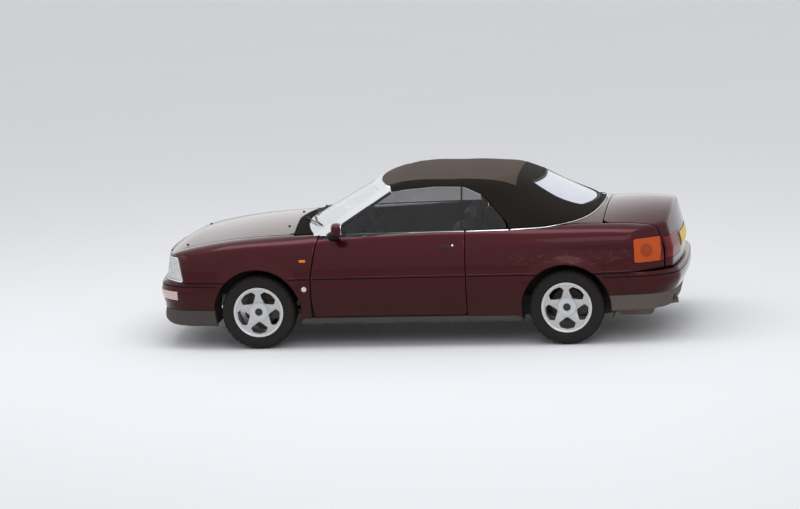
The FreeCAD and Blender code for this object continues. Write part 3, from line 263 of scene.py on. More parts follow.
class Roof:
    """The soft top's form: walls that lean in, under a crowned cloth drawn over its bows."""

    LEVELS = (
        # height, rear middle, corner x, corner y, turn x, turn y, flank x, flank y, front y
        (0.930, 1.775, 1.640, 0.420, 1.440, 0.630, 1.080, 0.752, 0.790),
        (1.056, 1.535, 1.440, 0.380, 1.285, 0.572, 0.950, 0.700, 0.730),
        (1.180, 1.250, 1.190, 0.340, 1.070, 0.505, 0.800, 0.645, 0.665),
        (1.300, 1.000, 0.960, 0.320, 0.880, 0.455, 0.650, 0.590, 0.598),
        (1.410, 0.780, 0.750, 0.300, 0.690, 0.410, 0.480, 0.538, 0.540),
    )
    PIVOT = 0.5
    BOWS = (0.22, -0.10, -0.44, -0.80)
    SAG = 0.004
    EDGE = 0.055
    CURVE_ACROSS = 0.062

    def __init__(self, inset=0.0):
        self.inset = inset
        self.heights = np.linspace(0.93, 1.41, 80)
        self.angles = np.radians(np.linspace(0, 180, 721))
        rows = spline([row[0] for row in self.LEVELS], [row[1:] for row in self.LEVELS])(self.heights)
        self.table = softened(np.array([self.outline(row) for row in rows]), 6, 1)
        line = np.concatenate([
            arc((0.480, 1.262), (0.200, 1.352), (-0.100, 1.379), 60),
            arc((-0.100, 1.379), (-0.450, 1.379), (-0.800, 1.362), 60)[1:],
            [(-1.000, 1.332), (-1.900, 1.200)],
        ])[::-1]
        self.along = np.linspace(-1.9, 0.6, 500)
        self.crown = softened(np.interp(self.along, line[:, 0], line[:, 1]), 8, 0)

    def outline(self, row):
        middle, corner_x, corner_y, turn_x, turn_y, flank_x, flank_y, front_y = row
        corner = (corner_x, corner_y)
        line = np.concatenate([
            arc((corner_x, -corner_y), (middle, 0), corner, 121)[60:],
            arc(corner, (turn_x, turn_y), (flank_x, flank_y), 80)[1:],
            dense([(flank_x, flank_y), (-0.7, front_y), (-0.7, 0.0)], 0.02, closed=False)[1:],
        ])
        return around(line - (self.PIVOT, 0), self.angles)

    def crest(self, x, y):
        """height of the cloth over a place"""
        low = np.interp(x, self.along, self.crown) - self.CURVE_ACROSS * (y / 0.72) ** 2
        sag = 0 * x
        for ahead, behind in zip(self.BOWS, self.BOWS[1:]):
            share = np.clip((ahead - x) / (ahead - behind), 0, 1)
            sag = sag + np.sin(share * math.pi) ** 2
        return low - self.SAG * sag

    def __call__(self, points):
        x, y, z = points[..., 0], np.abs(points[..., 1]), points[..., 2]
        back = -x - self.PIVOT
        wall = np.hypot(back, y) - two_way(self.table, self.heights, self.angles, z, np.arctan2(y, back))
        over = z - self.crest(x, y)
        return joined(wall * 0.8, over, self.EDGE) + self.inset


def normals_on(form, points, step=0.001):
    """outward directions of a form at points"""
    points = np.asarray(points, float)
    slopes = np.stack([form(points + shift) - form(points - shift) for shift in np.eye(3) * step], -1)
    return slopes / np.linalg.norm(slopes, axis=-1, keepdims=True)


def strike(form, origin, direction):
    """where rays from inside a form leave it"""
    origin, direction = np.atleast_2d(origin), np.atleast_2d(direction)
    low, high = np.zeros(len(origin)), np.full(len(origin), FAR)
    for _ in range(26):
        middle = (low + high) / 2
        inside = form(origin + direction * middle[:, None]) < 0
        low, high = np.where(inside, middle, low), np.where(inside, high, middle)
    return origin + direction * low[:, None]


class Capsule:
    """Lays the car's flank flat, from nose to tail round both corners."""

    PIVOT = 1.45
    HEIGHT = 0.60
    CORNER = 0.70
    AROUND = 0.75

    def flat(self, p):
        base = np.clip(p[:, 0], -self.PIVOT, self.PIVOT)
        ahead = p[:, 0] - base
        turn = np.arctan2(ahead, np.abs(p[:, 1]))
        rise = np.arctan2(p[:, 2] - self.HEIGHT, np.hypot(ahead, p[:, 1]))
        return np.stack([base + turn * self.CORNER, rise * self.AROUND], 1)

    def rays(self, uv):
        base = np.clip(uv[:, 0], -self.PIVOT, self.PIVOT)
        turn = (uv[:, 0] - base) / self.CORNER
        rise = uv[:, 1] / self.AROUND
        origin = np.stack([base, 0 * base, 0 * base + self.HEIGHT], 1)
        direction = np.stack([np.sin(turn) * np.cos(rise), np.cos(turn) * np.cos(rise), np.sin(rise)], 1)
        return origin, direction


class Fan:
    """Lays a lid flat, round a line across the car."""

    def __init__(self, x, height, way, scale):
        self.x, self.height, self.way, self.scale = x, height, way, scale

    def flat(self, p):
        angle = np.arctan2(p[:, 2] - self.height, (p[:, 0] - self.x) * self.way)
        return np.stack([angle * self.scale, p[:, 1]], 1)

    def rays(self, uv):
        angle = uv[:, 0] / self.scale
        origin = np.stack([0 * angle + self.x, uv[:, 1], 0 * angle + self.height], 1)
        return origin, np.stack([np.cos(angle) * self.way, 0 * angle, np.sin(angle)], 1)


class Round:
    """Lays a bumper flat by turning about an upright line inside it."""

    PIVOT = Cover.PIVOT
    SCALE = 0.85

    def __init__(self, way, height=0.40):
        self.way, self.height = way, height

    def flat(self, p):
        x = p[:, 0] * self.way - self.PIVOT
        rise = np.arctan2(p[:, 2] - self.height, np.hypot(x, p[:, 1]))
        return np.stack([np.arctan2(p[:, 1], x), rise], 1) * self.SCALE

    def rays(self, uv):
        turn, rise = uv.T / self.SCALE
        origin = np.tile([self.way * self.PIVOT, 0.0, self.height], (len(uv), 1))
        direction = [self.way * np.cos(turn) * np.cos(rise), np.sin(turn) * np.cos(rise), np.sin(rise)]
        return origin, np.stack(direction, 1)


class Dome:
    """Lays the roof flat by looking out from one place under it."""

    CENTRE = np.array([-0.55, 0.0, 0.90])
    SCALE = np.array([1.9, 1.0, 0.8])
    SPREAD = (1.1, 0.62)

    def flat(self, p):
        q = (p - self.CENTRE) / self.SCALE
        tilt = np.arccos(np.clip(q[:, 2] / np.linalg.norm(q, axis=1), -1, 1))
        turn = np.arctan2(q[:, 1], q[:, 0])
        return np.stack([tilt * np.cos(turn), tilt * np.sin(turn)], 1) * self.SPREAD

    def rays(self, uv):
        u, v = (uv / self.SPREAD).T
        tilt, turn = np.hypot(u, v), np.arctan2(v, u)
        ray = np.stack([np.sin(tilt) * np.cos(turn), np.sin(tilt) * np.sin(turn), np.cos(tilt)], 1)
        return np.tile(self.CENTRE, (len(uv), 1)), ray * self.SCALE


class Straight:
    """Lays a piece flat by looking along one direction."""

    def __init__(self, axis, start):
        self.axis = np.array(axis, float)
        self.start = start
        self.kept = [k for k in range(3) if axis[k] == 0]

    def flat(self, p):
        return p[:, self.kept]

    def rays(self, uv):
        origin = np.tile(self.axis * self.start, (len(uv), 1)).astype(float)
        origin[:, self.kept] = uv
        return origin, np.tile(self.axis, (len(uv), 1))


# Outlines and panels.
def dense(points, step=0.012, closed=True):
    """straight runs cut into short steps"""
    points = [np.array(p, float) for p in points]
    rows = []
    last = len(points) if closed else len(points) - 1
    for index in range(last):
        start, end = points[index], points[(index + 1) % len(points)]
        count = max(1, int(round(np.linalg.norm(end - start) / step)))
        rows += [start + (end - start) * k / count for k in range(count)]
    if not closed:
        rows.append(points[-1])
    return np.array(rows)


def rounded(corners, segments=8, closed=True):
    """corners (a, b, radius) turned into points with tangent arcs"""
    flat = [np.array(c[:2], float) for c in corners]
    count = len(flat)
    rows = []
    for index, corner in enumerate(corners):
        here = flat[index]
        radius = corner[2] if len(corner) > 2 else 0
        if radius == 0 or (not closed and index in (0, count - 1)):
            rows.append(here)
            continue
        back = flat[index - 1] - here
        ahead = flat[(index + 1) % count] - here
        back, ahead = back / np.linalg.norm(back), ahead / np.linalg.norm(ahead)
        half = math.acos(np.clip(back @ ahead, -1, 1)) / 2
        reach = radius / math.tan(half)
        middle = here + (back + ahead) / np.linalg.norm(back + ahead) * (radius / math.sin(half) - radius)
        rows += list(arc(here + back * reach, middle, here + ahead * reach, segments))
    return rows


def circle_run(centre, radius, first, last, count):
    angles = np.radians(np.linspace(first, last, count))
    return [(centre[0] + radius * math.cos(a), centre[1] + radius * math.sin(a)) for a in angles]


def inside_loops(points, loops):
    """even-odd test of points against closed outlines"""
    hit = np.zeros(len(points), bool)
    x, y = points[:, 0], points[:, 1]
    for loop in loops:
        for (ax, ay), (bx, by) in zip(loop, np.roll(loop, -1, axis=0)):
            if ay == by:
                continue
            crosses = (ay > y) != (by > y)
            hit ^= crosses & (x < (bx - ax) * (y - ay) / (by - ay) + ax)
    return hit


def tiled(loops, spacing):
    """a flat mesh inside outlines: vertices and triangles"""
    su, sv = spacing
    every = np.concatenate(loops)
    low, high = every.min(0), every.max(0)
    us = np.arange(low[0] + su / 2, high[0], su)
    vs = np.arange(low[1] + sv / 2, high[1], sv)
    grid = np.stack(np.meshgrid(us, vs, indexing="ij"), -1)
    grid[::2, :, 1] += sv / 2 if su == sv else 0
    grid = grid.reshape(-1, 2)
    grid = grid[inside_loops(grid, loops)]
    scaled, edge = grid / (su, sv), every / (su, sv)
    keep = np.ones(len(grid), bool)
    for start in range(0, len(grid), GRID_CHUNK):
        part = slice(start, start + GRID_CHUNK)
        keep[part] = np.linalg.norm(scaled[part, None] - edge[None], axis=2).min(1) > EDGE_CLEARANCE
    grid = grid[keep]
    points = np.concatenate([every, grid])
    edges = []
    base = 0
    for loop in loops:
        count = len(loop)
        edges += [(base + k, base + (k + 1) % count) for k in range(count)]
        base += count
    verts, _, faces, _, _, _ = delaunay_2d_cdt([Vector(p) for p in points], edges, [], 2, 1e-6)
    verts, faces = np.array([tuple(v) for v in verts]), np.array([tuple(f) for f in faces])
    kept = inside_loops(verts[faces].mean(1), loops)
    return verts, [tuple(int(k) for k in face) for face in faces[kept]]


def panel(form, skin, loops, depth, spacing, roll=0.003, back=None):
    """a closed shell over a form inside outlines of points in space, its visible edge rolled in

    Returns vertices, faces and a material index per face: 0 outside, 1 rolled edge, 2 inside.
    """
    flat_loops = [skin.flat(np.asarray(loop)) for loop in loops]
    uv, faces = tiled(flat_loops, spacing)
    origin, direction = skin.rays(uv)
    points = strike(form, origin, direction)
    mesh = bmesh.new()
    verts = [mesh.verts.new(p) for p in points]
    for face in faces:
        mesh.faces.new([verts[k] for k in face])
    mesh.normal_update()
    mesh.verts.index_update()
    outward = np.einsum("ij,ij->i", np.array([v.normal for v in verts]), direction)
    if np.median(outward) < 0:
        bmesh.ops.reverse_faces(mesh, faces=list(mesh.faces))
        mesh.normal_update()
    normals = np.array([v.normal for v in verts])
    rim = [e for e in mesh.edges if len(e.link_faces) == 1]
    away = {}
    for edge in rim:
        middle = (edge.verts[0].co + edge.verts[1].co) / 2
        centre = edge.link_faces[0].calc_center_median()
        along = (edge.verts[1].co - edge.verts[0].co).normalized()
        out = middle - centre
        out -= along * out.dot(along)
        for vert in edge.verts:
            away[vert.index] = away.get(vert.index, Vector()) + out.normalized()
    for index in away:
        away[index].normalize()
    inner = back(points) if back else points - normals * depth
    rims = {}
    for index, out in away.items():
        place, normal = Vector(points[index]), Vector(normals[index])
        out = (out - normal * out.dot(normal)).normalized()
        verts[index].co = place - out * roll
        rims[index] = [
            mesh.verts.new(place - out * roll * 0.3 - normal * roll * 0.3),
            mesh.verts.new(place - normal * roll),
        ]
    floor = [mesh.verts.new(spot) for spot in inner]
    kinds = {}
    for face in list(mesh.faces):
        kinds[face] = 0
        kinds[mesh.faces.new([floor[v.index] for v in reversed(face.verts)])] = 2
    for edge in rim:
        face = edge.link_faces[0]
        a, b = edge.verts
        for loop in face.loops:
            if loop.edge == edge:
                a, b = loop.vert, loop.link_loop_next.vert
        chain_a = [a] + rims[a.index] + [floor[a.index]]
        chain_b = [b] + rims[b.index] + [floor[b.index]]
        for k in range(3):
            kinds[mesh.faces.new([chain_b[k], chain_a[k], chain_a[k + 1], chain_b[k + 1]])] = 1
    return taken(mesh, [kinds[face] for face in mesh.faces])


def taken(mesh, kinds):
    """vertices, faces and kinds of a mesh that isn't needed any more"""
    mesh.verts.index_update()
    verts = [tuple(v.co) for v in mesh.verts]
    faces = [tuple(v.index for v in face.verts) for face in mesh.faces]
    mesh.free()
    return verts, faces, kinds


def sweep(path, normals, profile, closed=False):
    """a strip along a path; its section is pairs of distance across and out"""
    path, profile = np.asarray(path, float), np.asarray(profile, float)
    tangents = np.roll(path, -1, 0) - np.roll(path, 1, 0) if closed else np.gradient(path, axis=0)
    tangents /= np.linalg.norm(tangents, axis=1, keepdims=True)
    normals = np.broadcast_to(np.asarray(normals, float), path.shape)
    normals = normals - tangents * np.sum(normals * tangents, 1, keepdims=True)
    normals = normals / np.linalg.norm(normals, axis=1, keepdims=True)
    across = np.cross(tangents, normals)
    rows = path[:, None] + across[:, None] * profile[None, :, :1] + normals[:, None] * profile[None, :, 1:]
    return lofted(rows, closed)


def strip(form, line, profile, closed=False):
    """a strip that lies on a form"""
    return sweep(line, normals_on(form, line), profile, closed)


def tidy_shell(verts, faces, kinds=None):
    """a closed mesh whose faces look outward"""
    mesh = bmesh.new()
    made = [mesh.verts.new(v) for v in verts]
    for face in faces:
        mesh.faces.new([made[k] for k in face])
    bmesh.ops.recalc_face_normals(mesh, faces=list(mesh.faces))
    return taken(mesh, kinds or [0] * len(faces))


def strap(width, height, foot=0.001):
    """section of a rounded strip that stands on a surface"""
    w, h = width / 2, height
    right = [(w * 0.7, h * 0.9), (w, h * 0.5), (w, -foot)]
    return [(-a, b) for a, b in right[::-1]] + [(0, h)] + right


def tube_section(radius, sides=10):
    angles = np.linspace(0, 2 * math.pi, sides, endpoint=False)
    return [(radius * math.cos(a), radius * math.sin(a)) for a in angles]


def lathe(profile, steps, kinds=None, push=None):
    """a ring about the Y axis from a closed section of pairs (radius, y)"""
    profile = np.asarray(profile, float)
    turns = np.linspace(0, 2 * math.pi, steps, endpoint=False)
    radius = np.tile(profile[:, 0], (steps, 1))
    side = np.tile(profile[:, 1], (steps, 1))
    if push is not None:
        radius, side = push(radius, side, turns[:, None])
    rings = np.stack([radius * np.cos(turns)[:, None], side, radius * np.sin(turns)[:, None]], -1)
    return lofted(rings, True, kinds)


def lofted(rings, closed=False, kinds=None):
    """a skin over rings of equally many points, with two ends or as one closed round; kinds are per side"""
    rings = np.asarray(rings, float)
    count, sides = rings.shape[:2]
    faces = []
    for i in range(count if closed else count - 1):
        j = (i + 1) % count
        for a in range(sides):
            b = (a + 1) % sides
            faces.append((i * sides + a, i * sides + b, j * sides + b, j * sides + a))
    if not closed:
        faces += [tuple(reversed(range(sides))), tuple((count - 1) * sides + a for a in range(sides))]
    return tidy_shell(rings.reshape(-1, 3), faces, list(kinds) * count if kinds else None)


def block(low, high):
    """a plain block between two corners"""
    (x0, y0, z0), (x1, y1, z1) = low, high
    return lofted([[(x, y0, z0), (x, y1, z0), (x, y1, z1), (x, y0, z1)] for x in (x0, x1)])


def oval(centre, across, up, power=2.6, count=40):
    """points of a rounded outline spanned by two vectors"""
    centre, across, up = (np.array(v, float) for v in (centre, across, up))
    angles = np.linspace(0, 2 * math.pi, count, endpoint=False)[:, None]
    c, s = (np.copysign(np.abs(wave) ** (2 / power), wave) for wave in (np.cos(angles), np.sin(angles)))
    return centre + across * c + up * s


def moved(data, matrix):
    """a mesh carried to another place"""
    verts, faces, kinds = data
    if matrix.determinant() < 0:
        faces = [tuple(reversed(face)) for face in faces]
    return [tuple(matrix @ Vector(v)) for v in verts], faces, kinds


FLIP = Matrix.Scale(-1, 4, (0, 1, 0))


def both(data):
    """a left piece with its right twin"""
    return merged(data, moved(data, FLIP))


def merged(*parts):
    """several meshes as one"""
    verts, faces, kinds = [], [], []
    for part in parts:
        base = len(verts)
        verts += part[0]
        faces += [tuple(base + k for k in face) for face in part[1]]
        kinds += part[2]
    return verts, faces, kinds


def marked(data, kind):
    """the mesh with one finish all over"""
    return data[0], data[1], [kind] * len(data[1])


def shifted(data, by):
    """the mesh with its finishes taken from further on in the list"""
    return data[0], data[1], [kind + by for kind in data[2]]


def piece(name, body, data, finishes, stands_for=(), sharp=35):
    """an object of the car with its finishes, on its body"""
    verts, faces, kinds = data
    mesh = bpy.data.meshes.new(name)
    mesh.from_pydata(verts, [], faces)
    for finish in finishes:
        mesh.materials.append(finish)
    mesh.polygons.foreach_set("material_index", [min(k, len(finishes) - 1) for k in kinds])
    mesh.polygons.foreach_set("use_smooth", [True] * len(mesh.polygons))
    mesh.set_sharp_from_angle(angle=math.radians(sharp))
    mesh.update()
    thing = bpy.data.objects.new(name, mesh)
    bpy.context.scene.collection.objects.link(thing)
    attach(thing, body)
    if stands_for:
        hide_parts(*stands_for)
    return thing


def on_doors(name, data, finishes, stands_for=None):
    """a piece of the left door and its twin on the right one"""
    for side, place in (("left", Matrix.Identity(4)), ("right", FLIP)):
        nodes = [stands_for + side] if stands_for else ()
        piece(f"{name}_{side}", "door_" + side, moved(data, place), finishes, nodes)


# Finishes.
class Signal:
    """A node socket that takes part in Python arithmetic."""

    def __init__(self, finish, socket):
        self.finish, self.socket = finish, socket

    def __add__(self, other):
        return self.finish.math("ADD", self, other)

    __radd__ = __add__

    def __sub__(self, other):
        return self.finish.math("SUBTRACT", self, other)

    def __rsub__(self, other):
        return self.finish.math("SUBTRACT", other, self)

    def __mul__(self, other):
        return self.finish.math("MULTIPLY", self, other)

    __rmul__ = __mul__


class Finish:
    """One material, built from nodes."""

    def __init__(self, name):
        self.material = bpy.data.materials.new(name)
        self.material.use_nodes = True
        self.tree = self.material.node_tree
        self.tree.nodes.clear()
        self.output = self.tree.nodes.new("ShaderNodeOutputMaterial")

    def feed(self, socket, value):
        if isinstance(value, Signal):
            self.tree.links.new(value.socket, socket)
        elif value is not None:
            if hasattr(value, "__len__") and len(value) == 3 and socket.type == "RGBA":
                value = (*value, 1)
            socket.default_value = value

    def node(self, kind, settings=None, *values, out=0, **named):
        made = self.tree.nodes.new(kind)
        for key, setting in (settings or {}).items():
            setattr(made, key, setting)
        for index, value in enumerate(values):
            self.feed(made.inputs[index], value)
        for key, value in named.items():
            self.feed(made.inputs[key.replace("_", " ")], value)
        return Signal(self, made.outputs[out])

    def math(self, operation, *values):
        return self.node("ShaderNodeMath", {"operation": operation}, *values)

    def place(self):
        """the position in the piece's own space, in metres"""
        return self.node("ShaderNodeTexCoord", out=3)

    def part_of_place(self, axis):
        made = self.tree.nodes.new("ShaderNodeSeparateXYZ")
        self.feed(made.inputs[0], self.place())
        return Signal(self, made.outputs[axis])

    def noise(self, scale, detail=3.0, roughness=0.5, stretch=(1, 1, 1)):
        spot = self.node("ShaderNodeMapping", None, Vector=self.place(), Scale=stretch)
        inputs = {"Vector": spot, "Scale": scale, "Detail": detail, "Roughness": roughness}
        return self.node("ShaderNodeTexNoise", None, **inputs)

    def between(self, share, low, high):
        """share from 0 to 1 laid from low to high"""
        return self.node("ShaderNodeMapRange", {"clamp": True}, share, 0.0, 1.0, low, high)

    def span(self, value, start, end):
        """0 where value is below start, 1 above end"""
        return self.node("ShaderNodeMapRange", {"clamp": True}, value, start, end, 0.0, 1.0)

    def mix(self, share, first, second):
        made = self.tree.nodes.new("ShaderNodeMix")
        made.data_type = "RGBA"
        self.feed(made.inputs[0], share)
        self.feed(made.inputs[6], first)
        self.feed(made.inputs[7], second)
        return Signal(self, made.outputs[2])

    def bump(self, height, strength, distance=0.001):
        return self.node("ShaderNodeBump", None, Strength=strength, Distance=distance, Height=height)

    def surface(self, **inputs):
        shader = self.tree.nodes.new("ShaderNodeBsdfPrincipled")
        for key, value in inputs.items():
            self.feed(shader.inputs[key.replace("_", " ")], value)
        self.tree.links.new(shader.outputs[0], self.output.inputs[0])
        return self.material


def tinted(colour, share, lift=0.0):
    """a colour made darker or lighter"""
    return tuple(min(1, c * share + lift) for c in colour)


def weathered(name, cloud, share, clean, stained, rough, metallic=None, grain=None, **surface):
    """a finish that goes over to its stains in clouds

    rough and metallic are pairs, clean and stained; grain is a noise, its strength and its step;
    surface goes to the shader as it is.
    """
    f = Finish(name)
    spots = f.noise(*cloud)
    surface["Base_Color"] = f.mix(f.between(spots, 0.0, share), clean, stained)
    surface["Roughness"] = f.between(spots, *rough)
    if metallic:
        surface["Metallic"] = f.between(spots, *metallic)
    if grain:
        surface["Normal"] = f.bump(f.noise(*grain[0]), *grain[1:])
    return f.surface(**surface)


def lacquer(name, colour, dust=0.5, smears=None):
    """metallic car paint under clear lacquer, with dust low down, dried smears between two heights, painted
    sky reflection that makes it paler and bluer higher up, and painted shade that darkens it low down
    """
    f = Finish(name)
    flakes = f.noise(900, 1, 0.6)
    cloud = f.noise(1.3, 3, 0.5)
    height = f.part_of_place(2)
    grime = (1 - f.span(height, 0.18, 0.50)) * f.between(f.noise(7, 5, 0.65), 0.1, 0.5) * dust
    base = f.mix(f.between(flakes, 0.2, 0.8), tinted(colour, 0.80), tinted(colour, 1.25, 0.002))
    base = f.mix(f.between(cloud, 0.0, 0.25), base, tinted(colour, 1.1))
    red, green, blue = colour
    # painted sky reflection: from 0.5 m up to 0.9 m the paint turns paler and bluer
    base = f.mix(f.span(height, 0.50, 0.90) * 0.6, base, (red * 1.1, green * 1.5, blue * 2.4))
    # painted shade: below 0.66 m the paint turns darker, most of all below 0.32 m
    base = f.mix((1 - f.span(height, 0.32, 0.66)) * 0.6, base, (red * 0.55, green * 0.7, blue * 0.5))
    if smears:
        low, high = smears
        band = f.span(height, low, low + 0.02) * (1 - f.span(height, high - 0.02, high))
        behind = 1 - f.span(f.part_of_place(0), -0.9, -0.6)
        marks = f.span(f.noise(13, 6, 0.75, (1, 1, 2.5)), 0.54, 0.60) * band * behind
        base = f.mix(marks * 0.28, base, (0.085, 0.045, 0.035))
        grime = grime + marks * 0.15
    base = f.mix(grime, base, (0.080, 0.055, 0.042))
    return f.surface(
        Base_Color=base,
        Metallic=0.7 - grime * 0.6,
        Roughness=f.between(flakes, 0.24, 0.34) + grime * 0.4,
        Coat_Weight=1.0 - grime * 0.6,
        Coat_Roughness=0.035,
        Coat_IOR=1.22,
        Specular_IOR_Level=0.1,
        Normal=f.bump(f.noise(60, 2, 0.5), 0.02, 0.0005),
    )


def plastic(name, colour, rough=0.55, grain=600, depth=0.12, worn=0.15, gloss=0.22):
    """moulded plastic with a fine grain, paler where it has weathered"""
    paler = tinted(colour, 1.5, 0.012)
    return weathered(name, (5, 4, 0.6), worn * 2, colour, paler, (rough - 0.08, rough + 0.12),
                     grain=((grain, 2, 0.6), depth, 0.0004), Specular_IOR_Level=gloss)


def bright(name, colour, rough):
    """bright metal with faint smears"""
    return weathered(name, (24, 4, 0.6), 0.3, colour, tinted(colour, 0.8), (rough, rough + 0.14),
                     grain=((300, 2, 0.5), 0.03, 0.0003), Metallic=1.0)


# Sizes and colours that can be changed.
class ConvertiblePaint(bpy.types.PropertyGroup):
    body: bpy.props.FloatVectorProperty(
        name="Body", description="Lacquer of the body", subtype="COLOR", size=3,
        default=(0.048, 0.0046, 0.0056), min=0, max=1)
    trim: bpy.props.FloatVectorProperty(
        name="Trim", description="Bare plastic of the lower trim", subtype="COLOR", size=3,
        default=(0.048, 0.040, 0.036), min=0, max=1)
    cloth: bpy.props.FloatVectorProperty(
        name="Roof cloth", description="Cloth of the soft top", subtype="COLOR", size=3,
        default=(0.044, 0.033, 0.026), min=0, max=1)


class ConvertibleForm(bpy.types.PropertyGroup):
    mesh_step: bpy.props.FloatProperty(
        name="Mesh step", description="Distance between the vertices of a body panel",
        default=0.016, min=0.006, max=0.05, unit="LENGTH")
    edge_roll: bpy.props.FloatProperty(
        name="Edge roll", description="Radius of the panels' edges at the shut lines",
        default=0.003, min=0.001, max=0.01, unit="LENGTH")


def paint():
    return bpy.context.scene.convertible_paint


def form():
    return bpy.context.scene.convertible_form


# The stage.
CAMERA_HEADING = 8.9477
CAMERA_HEIGHT_ANGLE = 10.2348
CAMERA_ROLL = -2.661
CAMERA_PLACE = (-4.5903, 30.5943, 6.2171)
CAMERA_LENS = 168.584


class CONVERTIBLE_OT_stage(bpy.types.Operator):
    """Adds the floor, the lights, the world and the camera"""

    bl_idname = "convertible.stage"
    bl_label = "Stage"

    def execute(self, context):
        self.camera(context.scene)
        self.floor(context.scene)
        self.lights(context.scene)
        return {"FINISHED"}

    def camera(self, scene):
        heading, height, roll = (math.radians(a) for a in (CAMERA_HEADING, CAMERA_HEIGHT_ANGLE, CAMERA_ROLL))
        level = math.cos(height)
        back = Vector((-math.sin(heading) * level, math.cos(heading) * level, math.sin(height)))
        right = (-back).cross(Vector((0, 0, 1))).normalized()
        up = right.cross(-back)
        turned_right = right * math.cos(roll) + up * math.sin(roll)
        turned_up = up * math.cos(roll) - right * math.sin(roll)
        rotation = Matrix((turned_right, turned_up, back)).transposed()
        data = bpy.data.cameras.new("photo_camera")
        data.lens = CAMERA_LENS
        data.sensor_width = 36
        data.clip_end = 200
        camera = bpy.data.objects.new("photo_camera", data)
        camera.matrix_world = Matrix.Translation(CAMERA_PLACE) @ rotation.to_4x4()
        scene.collection.objects.link(camera)
        scene.camera = camera

    def floor(self, scene):
        f = Finish("studio_floor")
        tint = f.mix(f.noise(0.6, 2), (0.85, 0.845, 0.84), (0.87, 0.865, 0.86))
        material = f.surface(Base_Color=tint, Roughness=0.9)
        mesh = bmesh.new()
        bmesh.ops.create_grid(mesh, x_segments=24, y_segments=24, size=60)
        data = bpy.data.meshes.new("studio_floor")
        mesh.to_mesh(data)
        mesh.free()
        data.materials.append(material)
        floor = bpy.data.objects.new("studio_floor", data)
        scene.collection.objects.link(floor)

    def sky(self, tree):
        """white behind the car and in its reflections, softer as a light"""
        seen = tree.nodes["Background"]
        seen.inputs[0].default_value = (1.0, 1.0, 1.0, 1)
        seen.inputs[1].default_value = 1.0
        light = tree.nodes.new("ShaderNodeBackground")
        light.inputs[0].default_value = (0.93, 0.95, 1.0, 1)
        light.inputs[1].default_value = 0.74
        rays = tree.nodes.new("ShaderNodeLightPath")
        share = rays.outputs["Is Camera Ray"]
        for kind in ("Is Glossy Ray", "Is Transmission Ray"):
            either = tree.nodes.new("ShaderNodeMath")
            either.operation = "MAXIMUM"
            tree.links.new(share, either.inputs[0])
            tree.links.new(rays.outputs[kind], either.inputs[1])
            share = either.outputs[0]
        blend = tree.nodes.new("ShaderNodeMixShader")
        tree.links.new(share, blend.inputs[0])
        tree.links.new(light.outputs[0], blend.inputs[1])
        tree.links.new(seen.outputs[0], blend.inputs[2])
        tree.links.new(blend.outputs[0], tree.nodes["World Output"].inputs[0])

    def lights(self, scene):
        world = bpy.data.worlds.new("studio_world")
        world.use_nodes = True
        self.sky(world.node_tree)
        scene.world = world
        for name, place, width, length, power in (
            ("soft_box_top", (0.3, 1.2, 7.0), 8.0, 2.2, 210),
            ("soft_box_left", (-2.5, 9.0, 6.5), 6.0, 4.0, 110),
            ("soft_box_front", (9.0, 2.0, 5.5), 4.0, 4.0, 50),
        ):
            data = bpy.data.lights.new(name, "AREA")
            data.shape = "RECTANGLE"
            data.color = (0.93, 0.95, 1.0)
            data.size, data.size_y = width, length
            data.energy = power
            lamp = bpy.data.objects.new(name, data)
            lamp.location = place
            lamp.rotation_euler = (Vector((0, 0, 0.5)) - Vector(place)).to_track_quat("-Z", "Y").to_euler()
            scene.collection.objects.link(lamp)
        scene.view_settings.view_transform = "Standard"


# Painted panels.
OUTER = Body()
FLANK = Capsule()
BONNET_FAN = Fan(1.50, 0.30, 1, 0.60)
LID_FAN = Fan(-1.72, 0.50, -1, 0.50)

WAIST_FRONT = (0.782, 0.903)
WAIST_REAR = (-0.435, 0.953)
SILL = 0.235
DOOR_BOTTOM = 0.264
DOOR_REAR = -0.435
BUMPER_TOP_FRONT = 0.560
BUMPER_TOP_REAR = 0.592
LAMP_TOP = 0.768
BONNET_REAR = 1.000
BONNET_REAR_HALF = 0.655
BONNET_TAPER = 0.0577
LID_FRONT = -1.565
LID_HALF = 0.690
LID_TAPER_START = -1.70

# Rays up to the decks and along to the ends start here.
DECK_START = 0.56
END_START = 1.3


def cast(form_, columns, way):
    """places moved along one direction on to a form; the columns are x, y and z"""
    origin = np.stack(np.broadcast_arrays(*columns), 1)
    return strike(form_, origin, np.tile(np.array(way, float), (len(origin), 1)))


def on_side(rows, form_=OUTER):
    """points (x, z) moved out to the left flank"""
    x, z = np.array(rows, float).T
    return cast(form_, (x, 0.0, z), (0, 1, 0))


def on_deck(rows, form_=OUTER):
    """points (x, y) moved up to the decks"""
    x, y = np.array(rows, float).T
    return cast(form_, (x, y, DECK_START), (0, 0, 1))


def on_end(rows, way, form_=OUTER):
    """points (y, z) moved along the car to its nose or tail"""
    y, z = np.array(rows, float).T
    return cast(form_, (way * END_START, y, z), (way, 0, 0))


def run(*runs):
    """a closed outline in space from open runs, without doubled points"""
    points = np.concatenate(runs)
    keep = [0]
    for index in range(1, len(points)):
        if np.linalg.norm(points[index] - points[keep[-1]]) > 0.002:
            keep.append(index)
    if np.linalg.norm(points[keep[-1]] - points[keep[0]]) < 0.002:
        keep.pop()
    return points[keep]


def rectangle(low, high, radius):
    """four corners with one radius"""
    (a, b), (c, d) = low, high
    return [(a, b, radius), (c, b, radius), (c, d, radius), (a, d, radius)]


def patch(corners, place, segments=8, step=0.012, **where):
    """a closed outline with rounded corners, moved on to a form"""
    return run(place(dense(rounded(corners, segments), step), **where))


def bonnet_half(x):
    return BONNET_REAR_HALF - (x - BONNET_REAR) * BONNET_TAPER


def lid_half(x):
    return float(np.interp(x, (-2.3, -2.0, LID_FRONT), (0.605, 0.655, LID_HALF)))


def open_side(rows):
    return on_side(dense(rows, closed=False))


def open_deck(rows):
    return on_deck(dense(rows, closed=False))


def open_end(rows, way):
    return on_end(dense(rows, closed=False), way)


